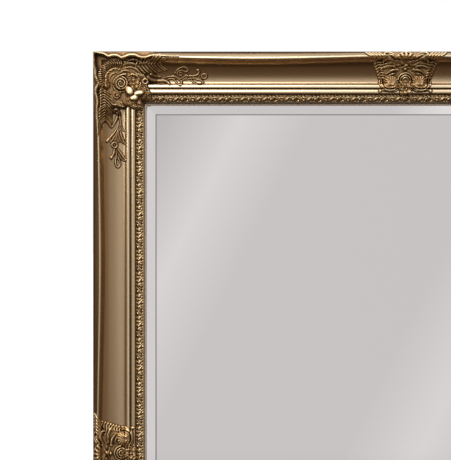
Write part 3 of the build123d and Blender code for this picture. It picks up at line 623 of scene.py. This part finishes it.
def corner_cluster(relief):
    """Shell, volute, rosettes and peony over the mitre."""
    base = 1.2
    relief.dome(29, 32, 25, 25, 1.3, 0.2, 0.8, 0.4)
    relief.dome(45, 45, 17, 17, 1.7, 0.5, 0.0, 0.4)
    shell_fan(relief, 25.8, 30.5, 13.8, 20.2, 68, 200, 18, base)
    for k in range(8):
        angle = math.radians(40 + 22 * k)
        relief.arc(25.6 + 9.4 * math.cos(angle), 30.4 - 9.4 * math.sin(angle), 1.7, 40 + 22 * k - 80,
                   40 + 22 * k + 80,
                   0.75, 1.9, (0.7, 0.7), base)
    relief.arc(25.0, 31.0, 6.6, 60, 215, 0.9, 1.9, (0.7, 0.7), base)
    relief.stroke([(30, 24.6), (34, 21.6), (39, 21.6), (44, 24.6)], 1.2, 2.2, (0.5, 0.5), base)
    relief.stroke([(40, 27.6), (44, 25.6), (49, 27.4), (53, 32.4)], 1.1, 2.2, (0.5, 0.5), base + 0.3)
    # volute, with the end of its outer turn lifted over the shell
    volute(relief, 31.6, 36.0, 7.4, 2.4, 80, base + 1.0)
    relief.stroke([(22.6, 36.6), (24.2, 32.0), (28.6, 28.0), (33.4, 26.0), (36.6, 25.6)], 1.15, 2.6,
                  (0.5, 0.8), base + 0.8)
    relief.dome(36.6, 25.6, 1.5, 1.4, 2.6, base + 0.8)
    relief.stroke([(22.8, 38.6), (24.6, 42.6), (29.0, 45.4), (34.6, 45.0), (38.6, 41.4)], 1.0, 2.2,
                  (0.6, 0.6), base + 0.6)
    volute(relief, 15.4, 38.4, 3.0, 1.5, 200, base + 0.2, 0.85)
    relief.arc(16.2, 39.4, 5.6, 110, 290, 0.95, 2.0, (0.6, 0.6), base - 0.2)
    # leafy rosette of nested curls
    relief.dome(27.4, 51.0, 8.0, 9.0, 1.8, base - 0.4, 0.6)
    volute(relief, 26.4, 48.8, 4.4, 1.5, 20, base + 0.4, 0.9)
    for k in range(4):
        relief.stroke([(19.6 + 0.9 * k, 46.6 + 3.0 * k), (22.2 + 1.2 * k, 52.4 + 2.2 * k),
                       (27.0 + 1.4 * k, 56.4 + 1.6 * k),
                       (33.0 + 0.8 * k, 57.4 + 1.6 * k)], 0.95, 2.1, (0.5, 0.6), base - 0.2 * k)
    relief.stroke([(19, 56), (22.6, 59.6), (27.4, 60.0), (32.6, 63.0)], 1.0, 2.2, (0.6, 0.5), base - 0.6)
    # peony: frilled rings with three smooth petals that stand highest and are rubbed brightest, which is also a
    # painted highlight
    peony(relief, 46.2, 37.0, 6.6, base + 0.2, (8, 5), 0.1)
    peony(relief, 50.2, 50.4, 12.4, base + 0.6, (12, 9), 0.3)
    relief.arc(50.6, 50.6, 13.4, 70, -75, 1.0, 2.4, (0.6, 0.6), base)
    relief.arc(50.4, 50.8, 11.0, 60, -80, 0.9, 2.4, (0.6, 0.6), base + 1.2)
    relief.arc(50.6, 51.0, 13.2, 190, 285, 1.0, 2.4, (0.6, 0.6), base)
    relief.arc(50.0, 52.0, 10.6, 200, 300, 0.9, 2.4, (0.6, 0.6), base + 1.0)
    for cx, cy, rx, ry, turn in ((41.0, 44.2, 5.4, 3.8, 0.95), (51.4, 47.2, 5.4, 3.3, -0.15),
                                 (46.4, 52.2, 4.6, 3.3, 0.1)):
        relief.dome(cx, cy, rx, ry, 1.5, base + 5.9, turn, 0.75, (0.12, 0.33), 1.0)


def corner_ground(x, y):
    """The moulding under the ornament, with the scoop partly filled where the cluster sits."""
    crest_top = crest_at(x - WIDTH / 2, WIDTH)
    crest_left = crest_at(y - HEIGHT / 2, HEIGHT)
    under = np.where(y < x, moulding(y, crest_top), moulding(x, crest_left))
    inwards = np.minimum(x, y)
    # the lip is filled out to a slope beside the corner, up to the ribbon
    crest_in = ribbon_at(x, y)
    slope = 31.8 + 4.0 * np.clip(inwards / np.maximum(crest_in, 1.0), 0, 1)
    near = np.clip((70.0 - np.maximum(x, y)) / 8.0, 0, 1) * np.clip((crest_in + 1.4 - inwards) / 1.2, 0, 1)
    under = under + near * (slope - under)
    # and just inside the ribbon the lip is cut away
    inside = np.clip((68.0 - np.maximum(x, y)) / 5.0, 0, 1) * np.clip((inwards - crest_in - 0.8) / 1.0, 0, 1)
    under = under - inside * np.clip(under - 30.2, 0, None) * np.clip((13.0 - inwards) / 2.0, 0, 1)
    # the scoop and the beads are filled under the cluster
    cluster = np.clip((72.0 - np.maximum(x, y)) / 10.0, 0, 1) * np.clip((inwards - 9.0) / 5.0, 0, 1)
    filled = np.interp(inwards, [10, 16, 24, 34, 41, 48, 53, SIGHT],
                       [30.0, 27.4, 26.6, 27.0, 28.2, 27.8, 26.2, 21.8])
    return under + cluster * (filled - under)


corner = Relief(0.0, CORNER, 0.0, CORNER)
scalloped_lip(corner)
top_arm(corner)
left_arm(corner)
corner_cluster(corner)
edge_in, reach = np.minimum(corner.x, corner.y), np.maximum(corner.x, corner.y)
corner.within = (edge_in < SIGHT) & (edge_in > 0.4)
# it rolls down to the glass beside the sight edge
rolled = 22.0 + 2.6 * np.clip(SIGHT - edge_in, 0, None)
corner.up = np.minimum(corner.up, rolled - corner_ground(corner.x, corner.y))
# painted shade: the bare lip round the ribbon beside the corner is painted darker
ledge_in = (edge_in > 1.4) & (edge_in < np.interp(reach, [10, 60, 70], [14, 12, 5])) & (reach < 69.0)
corner.painted_shade = np.where(ledge_in & (corner.up < 0.05), 0.14, 0.0)
corner.up = np.where(ledge_in, np.maximum(corner.up, 0.05), corner.up)
corner_mesh = cast(corner, corner_ground(corner.x, corner.y), wear_and_light_level=0.5)
# drawn from the outer corner, x along the top and y down the side
corner_place = Matrix(((1, 0, 0, -WIDTH / 2), (0, -1, 0, 0), (0, 0, -1, HEIGHT), (0, 0, 0, 1)))
turn_over = Matrix.Translation((0, 0, HEIGHT)) @ Matrix.Diagonal((1, 1, -1, 1))
for across, x_sign in (("left", 1), ("right", -1)):
    for level, flip in (("top", Matrix()), ("bottom", turn_over)):
        place = flip @ Matrix.Diagonal((x_sign, 1, 1, 1)) @ corner_place
        finished(f"corner_spray_{level}_{across}", corner_mesh, place, [cast_gold], "frame",
                 [f"corner_ornament_{level}_{across}"], 80)


# ======== ornaments halfway along the rails =======================================================
# A tapered cartouche cast in one piece: a palmette between curling leaves at the lip, strings of pearls down
# both sides, a small bow, three nested arches between two ribbed shells, and a rosette over the inner bead.
def crest_half(relief, side):
    """What is the same on the left and on the right."""

    def at(points):
        return [(side * x, y) for x, y in points]

    # outer fan of ribs and leaves over the lip
    for k in range(5):
        relief.stroke(at([(24.5 + 3.2 * k, 9.6 - 0.4 * k), (26.4 + 3.5 * k, 5.2), (30.0 + 3.6 * k, 2.0)]),
                      1.5, 2.6,
                      (0.5, 0.8), 0.5)
    relief.stroke(at([(15, 8.8), (21, 7.4), (28, 8.2), (34, 10.6)]), 1.2, 2.3, (0.6, 0.6), 0.5)
    relief.stroke(at([(13, 4.2), (17, 1.9), (22, 1.6), (24.6, 4.2), (21.8, 5.8)]), 1.15, 2.4, (0.6, 0.9), 0.6)
    relief.stroke(at([(12.4, 7.0), (17, 4.4), (20, 3.8)]), 1.1, 2.4, (0.5, 0.5), 0.7)
    # long acanthus ribs that fan out from the bow
    for ex, ey in ((17.6, 4.6), (21.6, 7.4), (24.6, 11.6), (27.6, 15.8), (28.0, 20.6)):
        relief.stroke(at([(5.0, 15.4), (0.42 * ex + 3.2, 0.45 * ey + 7.0), (0.75 * ex + 1.6, 0.75 * ey + 2.4),
                          (ex, ey)]),
                      1.15, 2.4, (0.5, 0.7), 0.5)
    # bright curled leaf
    relief.stroke(at([(8, 13.4), (13, 10.4), (19, 9.0), (24.5, 10.2), (25.2, 12.6)]), 1.7, 4.2, (0.4, 0.7),
                  0.8)
    relief.stroke(at([(10, 15.6), (16, 12.6), (22, 13.4)]), 1.2, 3.2, (0.5, 0.5), 0.5)
    relief.stroke(at([(11, 18), (17, 16), (24, 17.6), (29, 20.5)]), 1.3, 2.8, (0.5, 0.5), 0.4)
    # pearls and small curled leaves down the edge
    for k in range(7):
        t = k / 6
        relief.dome(side * (35.2 - 6.4 * t), 11.0 + 18.0 * t, 1.6, 1.45, 1.9, 0.4)
        relief.stroke(at([(26.6 - 3.6 * t, 13.4 + 17.0 * t), (29.6 - 4.4 * t, 12.2 + 17.0 * t),
                          (33.0 - 5.6 * t, 12.8 + 17.2 * t)]), 0.95, 1.8, (0.6, 0.8), 0.4)
    # wing
    relief.stroke(at([(9.0, 20.2), (13, 20.6), (17, 21.8), (21.5, 25.2)]), 1.35, 3.4, (0.8, 0.4), 0.6)
    relief.dome(side * 9.0, 20.4, 1.7, 1.5, 3.4, 0.6)
    relief.stroke(at([(10, 24.4), (15, 25.2), (20, 28.0)]), 1.0, 2.6, (0.5, 0.5), 0.5)
    # ribbed shell with a rolled lower rim
    relief.dome(side * 16.2, 34.2, 9.0, 7.8, 2.0, 0.3)
    for k in range(8):
        a = math.radians(178 - 24 * k)
        tip = (16.0 + 7.4 * math.cos(a), 34.4 + 6.8 * -math.sin(a) * 0.95)
        relief.stroke(at([(16.5 + 1.8 * math.cos(a), 38.6 - 1.0 * math.sin(a)),
                          ((16.2 + tip[0]) / 2, (36.2 + tip[1]) / 2), tip]), 1.05, 3.0, (0.5, 0.8), 0.6)
    relief.stroke(at([(26.4, 31.0), (26.2, 38.0), (21.5, 43.0), (14.5, 43.4), (8.6, 40.4)]), 1.35, 3.4,
                  (0.5, 0.6), 0.5)
    relief.stroke(at([(24.0, 34.0), (22.8, 39.0), (17.5, 41.0), (11.5, 39.2)]), 1.0, 3.0, (0.5, 0.5), 0.5)
    relief.stroke(at([(28.4, 31.0), (28.6, 36.0), (26.2, 41.0)]), 1.0, 2.6, (0.5, 0.5), 0.3)
    # bracket line with a hooked end on the beads
    relief.stroke(at([(6.5, 40.6), (12, 44.4), (20, 44.0), (26.6, 43.2), (28.4, 46.0)]), 1.0, 2.2, (0.6, 0.9),
                  0.1)
    relief.dome(side * 28.2, 44.0, 1.8, 2.4, 2.6, 0.1)


def crest_middle(relief):
    # palmette
    for angle, reach in ((90, 12.6), (66, 12.0), (114, 12.0), (42, 11.4), (138, 11.4), (20, 10.4),
                         (160, 10.4)):
        a = math.radians(angle)
        tip = (reach * math.cos(a), 14.2 - (reach - 0.4) * math.sin(a))
        mid = (reach * 0.55 * math.cos(a), 14.2 - reach * 0.55 * math.sin(a))
        relief.stroke([(0.0, 14.4), mid, tip], 1.9, 3.4, (0.35, 0.9), 0.8)
    relief.arc(0, 14.0, 12.8, 150, 30, 0.9, 2.8, (0.6, 0.6), 0.4)
    # bow
    relief.dome(0.6, 15.8, 2.9, 1.5, 3.8, 0.9, -0.3)
    relief.dome(-0.4, 19.8, 2.6, 1.3, 3.4, 0.8, -0.2)
    relief.stroke([(-5.6, 18.4), (-2, 17.4), (2, 17.6), (5.8, 18.6)], 1.1, 2.8, (0.6, 0.6), 0.5)
    # nested arches
    for radius, lift in ((8.4, 0.4), (5.7, 0.9), (3.2, 1.3)):
        relief.arc(0, 32.6, radius, 172, 8, 1.15, 3.0, (0.7, 0.7), lift)
    relief.dome(0, 34.6, 6.0, 5.6, 1.6, 0.4)
    relief.stroke([(-6.0, 33.0), (-3.0, 37.0), (0.0, 40.0)], 1.2, 3.0, (0.5, 0.6), 0.5)
    relief.stroke([(6.0, 33.0), (3.0, 37.0), (0.0, 40.0)], 1.2, 3.0, (0.5, 0.6), 0.5)
    # rosette over the inner bead
    peony(relief, 0.4, 42.6, 6.4, 1.2, (7, 5), 0.2)


crest = Relief(-46.4, 46.4, 0.0, 49.0)
crest.within = crest.y > 0.4
across = np.abs(crest.x)
narrowing = np.interp(crest.y, [0, 3, 10, 20, 30, 44, 49], [43, 41, 36, 33.5, 28, 27, 24])
crest.up = np.where((across < narrowing - 3.4) & (crest.y < 42.0), 0.25, -1.2)
for half_side in (1, -1):
    crest_half(crest, half_side)
crest_middle(crest)
filled = np.clip((narrowing - across) / 8.0, 0, 1) * np.clip((crest.y - 5.0) / 5.0, 0, 1)
crest_under = moulding(crest.y, LIP_CREST)
crest_under = crest_under + filled * 0.6 * np.clip(29.0 - crest_under, 0, None) * np.clip((46 - crest.y) / 8,
                                                                                          0, 1)
crest_mesh = cast(crest, crest_under, wear_and_light_level=0.52)
bay = HEIGHT / ORNAMENTS
places = [("crest_ornament_top", side_matrix("top")), ("crest_ornament_bottom", side_matrix("bottom"))]
for word, level in (("upper", 1), ("middle", 0), ("lower", -1)):
    for side, sign in (("left", 1), ("right", -1)):
        places.append((f"side_ornament_{side}_{word}",
                       side_matrix(side) @ Matrix.Translation((sign * level * bay, 0, 0))))
for replaced, place in places:
    name = "cartouche_" + replaced.replace("_ornament", "")
    finished(name, crest_mesh, place, [cast_gold], "frame", [replaced], 80)


# ======== mirror glass ============================================================================
# Silvered float glass with a wide polished bevel. The bevel's inner line is a fine ground arris that looks
# like a thin grey thread, mitred at the corners.
BEVEL, BEVEL_DROP, GLASS_BACK, GLASS_THICK = 20.0, 3.0, 10.0, 5.0
ARRIS = 0.55  # half width of the ground line
GAP = 1.0  # play round the glass in its rebate


def silvered(name, colour, roughness):
    """Silvering behind clear glass, in one even colour: it takes away a little of the light."""
    return new_material(name, Base_Color=linear(colour), Metallic=1.0, Roughness=roughness)[0]


silver = silvered("silvered float glass", "#eeebec", 0.012)
ground = silvered("ground arris of the bevel", "#8a8888", 0.35)
ground_edge = silvered("ground edge of the glass", "#8fa39b", 0.5)
wide, high = WIDTH - 2 * (RAIL - REBATE + GAP), HEIGHT - 2 * (RAIL - REBATE + GAP)
bm = bmesh.new()
bmesh.ops.create_cube(bm, size=1.0)
bmesh.ops.transform(bm, matrix=Matrix.Diagonal((wide, GLASS_THICK - BEVEL_DROP, high, 1)), verts=bm.verts)
bmesh.ops.translate(bm, vec=(0, -GLASS_BACK - (GLASS_THICK - BEVEL_DROP) / 2, HEIGHT / 2), verts=bm.verts)
bm.faces.ensure_lookup_table()
for face in bm.faces:
    face.material_index = 2
front = min(bm.faces, key=lambda face: face.calc_center_median().y)
rim = bmesh.ops.inset_region(bm, faces=[front], thickness=BEVEL, use_even_offset=True)["faces"]
bmesh.ops.translate(bm, vec=(0, -BEVEL_DROP, 0), verts=front.verts)
for face in [front, *rim]:
    face.material_index = 0
bmesh.ops.bevel(bm, geom=list(front.edges), offset=ARRIS, segments=2, profile=0.5, affect="EDGES", material=1)
bmesh.ops.recalc_face_normals(bm, faces=bm.faces)
glass_mesh = bpy.data.meshes.new("glass")
bm.to_mesh(glass_mesh)
bm.free()
finished("bevelled_glass", glass_mesh, Matrix(), [silver, ground, ground_edge], "frame",
         ["mirror_glass"])


# ======== foam sheet and back panel ===============================================================
# Closed-cell packing foam against the silvering, then smooth brown hardboard pressed from wood fibre.
def paint_nodes(material, *names):
    """Gives CAD nodes their material."""
    for name in names:
        mesh = frame["nodes"][name].data
        mesh.materials.clear()
        mesh.materials.append(material)


foam, tree, shader = new_material("closed-cell polyethylene foam", Roughness=0.8)
where = node(tree, "ShaderNodeTexCoord").outputs["Object"]
cells = node(tree, "ShaderNodeTexVoronoi", {"Scale": 1 / (2 * MM)}, Vector=where)  # cells about 2 mm across
tree.links.new(ramp(tree, cells.outputs["Distance"], [(0.0, "#e4e4de"), (0.8, "#f2f2ee")]),
               shader.inputs["Base Color"])
bump = node(tree, "ShaderNodeBump", {"Strength": 0.3, "Distance": 0.4 * MM}, Height=cells.outputs["Distance"])
tree.links.new(bump.outputs[0], shader.inputs["Normal"])
paint_nodes(foam, "foam_sheet")

hardboard, tree, shader = new_material("smooth brown hardboard, hot pressed", Roughness=0.62)
where = node(tree, "ShaderNodeTexCoord").outputs["Object"]
fibre = node(tree, "ShaderNodeTexNoise", {"Scale": 1 / (4 * MM), "Detail": 5.0, "Roughness": 0.75},
             Vector=where)
cloud = node(tree, "ShaderNodeTexNoise", {"Scale": 1 / (150 * MM), "Detail": 3.0}, Vector=where)
mixed = node(tree, "ShaderNodeMath", {"operation": "MULTIPLY_ADD", 1: 0.45}, i0=cloud.outputs["Fac"],
             i2=fibre.outputs["Fac"])
shade = ramp(tree, mixed.outputs[0], [(0.45, "#5d412b"), (0.70, "#77573b"), (0.95, "#8f6d4d")])
tree.links.new(shade, shader.inputs["Base Color"])
bump = node(tree, "ShaderNodeBump", {"Strength": 0.2, "Distance": 0.3 * MM}, Height=fibre.outputs["Fac"])
tree.links.new(bump.outputs[0], shader.inputs["Normal"])
paint_nodes(hardboard, "back_panel")


# ======== battens and easel leg ===================================================================
# Planed beech, stained walnut brown and wiped with a thin satin lacquer. The grain runs along each length.
def stained_beech(name, direction):
    """Straight grain about 5 mm apart, with the short dark flecks of beech."""
    material, tree, shader = new_material(name, Roughness=0.42, Coat_Weight=0.25, Coat_Roughness=0.3)
    where = node(tree, "ShaderNodeTexCoord").outputs["Object"]
    stretch = [1.0, 1.0, 1.0]
    stretch[direction] = 0.06
    along = node(tree, "ShaderNodeMapping", {"Scale": stretch, "Rotation": (0.1, 0.0, 0.0)},
                 Vector=where).outputs[0]
    grain = node(tree, "ShaderNodeTexNoise", {"Scale": 1 / (5 * MM), "Detail": 6.0, "Roughness": 0.65,
                                              "Distortion": 0.4}, Vector=along)
    fleck = node(tree, "ShaderNodeTexNoise", {"Scale": 1 / (1.4 * MM), "Detail": 2.0}, Vector=along)
    both = node(tree, "ShaderNodeMath", {"operation": "MULTIPLY_ADD", 1: 0.35}, i0=fleck.outputs["Fac"],
                i2=grain.outputs["Fac"])
    colour = ramp(tree, both.outputs[0], [(0.42, "#2b180d"), (0.62, "#4a2d19"), (0.85, "#6a4427")])
    rough = ramp(tree, both.outputs[0], [(0.4, 0.5), (0.8, 0.36)])
    tree.links.new(colour, shader.inputs["Base Color"])
    tree.links.new(rough, shader.inputs["Roughness"])
    bump = node(tree, "ShaderNodeBump", {"Strength": 0.25, "Distance": 0.25 * MM}, Height=both.outputs[0])
    tree.links.new(bump.outputs[0], shader.inputs["Normal"])
    return material


paint_nodes(stained_beech("stained beech, grain across", 0), "hinge_batten", "stay_batten", "leg_top_rail",
            "leg_middle_rail", "leg_bottom_rail")
paint_nodes(stained_beech("stained beech, grain upright", 2), "left_leg_stile", "right_leg_stile")


# ======== brackets, plates, clips and screws ======================================================
# Pressed mild steel and screws, bright zinc plated: faint milky spangle and the drawing lines of the strip.
def plated(name, tone, roughness, spangle_mm):
    material, tree, shader = new_material(name, Metallic=1.0)
    where = node(tree, "ShaderNodeTexCoord").outputs["Object"]
    spangle = node(tree, "ShaderNodeTexVoronoi", {"Scale": 1 / (spangle_mm * MM)}, Vector=where)
    lines = node(tree, "ShaderNodeMapping", {"Scale": (1.0, 1.0, 0.08)}, Vector=where).outputs[0]
    drawn = node(tree, "ShaderNodeTexNoise", {"Scale": 1 / (0.5 * MM), "Detail": 2.0}, Vector=lines)
    both = node(tree, "ShaderNodeMath", {"operation": "MULTIPLY_ADD", 1: 0.5}, i0=spangle.outputs["Distance"],
                i2=drawn.outputs["Fac"])
    tree.links.new(ramp(tree, both.outputs[0], [(0.3, tone[0]), (0.9, tone[1])]), shader.inputs["Base Color"])
    rough = ramp(tree, both.outputs[0], [(0.3, roughness - 0.06), (0.9, roughness + 0.08)])
    tree.links.new(rough, shader.inputs["Roughness"])
    bump = node(tree, "ShaderNodeBump", {"Strength": 0.08, "Distance": 0.1 * MM}, Height=drawn.outputs["Fac"])
    tree.links.new(bump.outputs[0], shader.inputs["Normal"])
    return material


zinc = plated("zinc plated mild steel, pressed", ("#a9a9a2", "#cfcfc9"), 0.36, 3.0)
paint_nodes(zinc, "corner_plates", "corner_plate_screws", "panel_clips", "panel_clip_screws", "batten_screws",
            "bracket_screws", "hanger_plates", "hanger_screws", "track_screws", "left_leg_bracket",
            "right_leg_bracket", "left_stay_bracket", "right_stay_bracket", "left_stay_arm", "right_stay_arm",
            "left_stay_track", "right_stay_track")


# ======== bolts, rivets, studs, thumb nuts and hanging rings ======================================
# Turned steel, nickel plated: warmer and smoother than the zinc.
nickel = plated("nickel plated steel, turned", ("#b7b1a6", "#d8d3c8"), 0.24, 1.5)
paint_nodes(nickel, "pivot_bolts", "pivot_nuts", "stay_rivets", "left_stay_stud", "right_stay_stud",
            "left_thumb_nut", "right_thumb_nut", "left_d_ring", "right_d_ring")


# ======== washers, boots and feet =================================================================
# Natural nylon washers, and black rubber moulded with a fine matt texture that grips the floor.
nylon, tree, shader = new_material("natural nylon, moulded", Roughness=0.45, Subsurface_Weight=0.1)
where = node(tree, "ShaderNodeTexCoord").outputs["Object"]
milky = node(tree, "ShaderNodeTexNoise", {"Scale": 1 / (3 * MM), "Detail": 2.0}, Vector=where)
tree.links.new(ramp(tree, milky.outputs["Fac"], [(0.3, "#d9d6c8"), (0.7, "#e8e6db")]),
               shader.inputs["Base Color"])
paint_nodes(nylon, "pivot_washers")

rubber, tree, shader = new_material("black rubber, moulded", Roughness=0.75)
where = node(tree, "ShaderNodeTexCoord").outputs["Object"]
pores = node(tree, "ShaderNodeTexNoise", {"Scale": 1 / (0.8 * MM), "Detail": 3.0}, Vector=where)
dust = node(tree, "ShaderNodeTexNoise", {"Scale": 1 / (25 * MM), "Detail": 4.0}, Vector=where)
tree.links.new(ramp(tree, dust.outputs["Fac"], [(0.35, "#121212"), (0.75, "#242322")]),
               shader.inputs["Base Color"])
bump = node(tree, "ShaderNodeBump", {"Strength": 0.35, "Distance": 0.25 * MM}, Height=pores.outputs["Fac"])
tree.links.new(bump.outputs[0], shader.inputs["Normal"])
paint_nodes(rubber, "leg_boots", "frame_feet")


# ======== floor, light and camera =================================================================
# A pale studio floor, a white surround that is bright overhead and dim below, and two large soft lamps.
floor_material, tree, shader = new_material("pale studio floor", Roughness=0.7, Emission_Strength=0.32)
where = node(tree, "ShaderNodeTexCoord").outputs["Object"]
tone = node(tree, "ShaderNodeTexNoise", {"Scale": 3.0, "Detail": 2.0}, Vector=where)
tree.links.new(ramp(tree, tone.outputs["Fac"], [(0.3, "#f0efee"), (0.7, "#f4f3f2")]),
               shader.inputs["Base Color"])
bm = bmesh.new()
bmesh.ops.create_grid(bm, x_segments=1, y_segments=1, size=9.0)
floor_mesh = bpy.data.meshes.new("floor")
bm.to_mesh(floor_mesh)
bm.free()
floor_mesh.materials.append(floor_material)
floor = bpy.data.objects.new("floor", floor_mesh)
floor.visible_glossy = False
bpy.context.scene.collection.objects.link(floor)

SIDEWAYS, UPWARDS = (1, 0, 0), (0, math.sin(LEAN), math.cos(LEAN))
world = bpy.data.worlds.new("studio")
bpy.context.scene.world = world
world.use_nodes = True
tree = world.node_tree
background = tree.nodes["Background"]
way = node(tree, "ShaderNodeTexCoord").outputs["Generated"]
height = node(tree, "ShaderNodeVectorMath", {"operation": "DOT_PRODUCT", 1: UPWARDS}, i0=way).outputs["Value"]
aside = node(tree, "ShaderNodeVectorMath", {"operation": "DOT_PRODUCT", 1: SIDEWAYS}, i0=way).outputs["Value"]
# brightness by height: dim underfoot, level ahead, brightest at the front of the ceiling
lifted = node(tree, "ShaderNodeMath", {"operation": "MULTIPLY_ADD", 1: 0.5, 2: 0.5}, i0=height).outputs[0]
ceiling = ramp(tree, lifted, [(0.0, 0.012), (0.12, 0.018), (0.25, 0.035), (0.36, 0.05), (0.40, 0.085),
                              (0.427, 0.25), (0.56, 0.25), (0.61, 0.255), (0.66, 0.285), (0.78, 0.33),
                              (0.88, 0.70), (0.95, 0.60), (1.0, 0.20)])
# and sideways: brightest at a window a little to the left, dim at the far left and on the right
turned = node(tree, "ShaderNodeMath", {"operation": "MULTIPLY_ADD", 1: 0.5, 2: 0.5}, i0=aside).outputs[0]
walls = ramp(tree, turned, [(0.0, 0.10), (0.05, 0.22), (0.13, 0.62), (0.26, 0.70), (0.295, 0.84),
                            (0.315, 1.04), (0.34, 1.04), (0.36, 0.82), (0.675, 0.79), (0.755, 0.52),
                            (0.83, 0.37), (1.0, 0.34)])
# soft diagonal bands of the studio's panels, which only the glass is sharp enough to show
slant = node(tree, "ShaderNodeMath", {"operation": "MULTIPLY_ADD", 1: -0.5}, i0=height, i2=aside).outputs[0]
spread = node(tree, "ShaderNodeMapRange", {"From Min": -0.12, "From Max": 0.28}, Value=slant).outputs[0]
bands = ramp(tree, spread, [(0.0, 0.72), (0.11, 0.72), (0.235, 1.0), (0.35, 0.84), (0.67, 0.84),
                            (0.79, 1.0), (0.90, 0.84)])
light = node(tree, "ShaderNodeMath", {"operation": "MULTIPLY"}, i0=ceiling, i1=walls).outputs[0]
tint = ramp(tree, light, [(0.0, "#f2b67e"), (0.05, "#fbd2a2"), (0.16, "#fffdfc")])
light = node(tree, "ShaderNodeMath", {"operation": "MULTIPLY"}, i0=light, i1=bands).outputs[0]
light = node(tree, "ShaderNodeMath", {"operation": "MULTIPLY", 1: 4.0}, i0=light).outputs[0]
seen = node(tree, "ShaderNodeLightPath").outputs["Is Camera Ray"]
shown = node(tree, "ShaderNodeMapRange", {"To Max": 1.0}, Value=seen, **{"To Min": light}).outputs[0]
tree.links.new(shown, background.inputs["Strength"])
white = node(tree, "ShaderNodeMix", {"data_type": "RGBA"}, Factor=seen)
tree.links.new(tint, white.inputs[6])
white.inputs[7].default_value = linear("#ffffff")
tree.links.new(white.outputs[2], background.inputs["Color"])

# aim point: on the front of the frame, towards the upper left corner
FRONT = 34.0
VIEW_X, VIEW_Z = -201.6, 1600.0
LENS = 120.0
VIEW_HIGH = 513.4  # height of panel that the view takes in
SENSOR = 36.0
aim = to_room @ Matrix.Translation((VIEW_X, -FRONT, VIEW_Z))
distance = VIEW_HIGH * LENS / SENSOR
camera_data = bpy.data.cameras.new("camera")
camera_data.lens = LENS
camera_data.sensor_width = SENSOR
camera = bpy.data.objects.new("camera", camera_data)
bpy.context.scene.collection.objects.link(camera)
stand = to_room @ Matrix.Translation((VIEW_X, -FRONT - distance, VIEW_Z))
camera.location = stand.translation
camera.rotation_mode = "QUATERNION"
camera.rotation_quaternion = (aim.translation - stand.translation).to_track_quat("-Z", "Y")
bpy.context.scene.camera = camera


def lamp(name, where, size, power, colour="#fffaf2"):
    """A square soft lamp, given on the upright panel, that faces the upper part of the frame."""
    data = bpy.data.lights.new(name, "AREA")
    data.shape = "SQUARE"
    data.size = size
    data.energy = power
    data.color = linear(colour)[:3]
    made = bpy.data.objects.new(name, data)
    bpy.context.scene.collection.objects.link(made)
    at = to_room @ Matrix.Translation(where)
    target = to_room @ Matrix.Translation((0, 0, HEIGHT * 0.8))
    made.location = at.translation
    made.rotation_mode = "QUATERNION"
    made.rotation_quaternion = (target.translation - at.translation).to_track_quat("-Z", "Y")
    return made


lamp("overhead softbox", (-500, -900, HEIGHT + 1100), 0.9, 9.0)
lamp("side softbox", (-1750, -1250, HEIGHT + 430), 0.6, 8.0)

bpy.context.scene.view_settings.view_transform = "Standard"
bpy.context.scene.view_settings.look = "None"
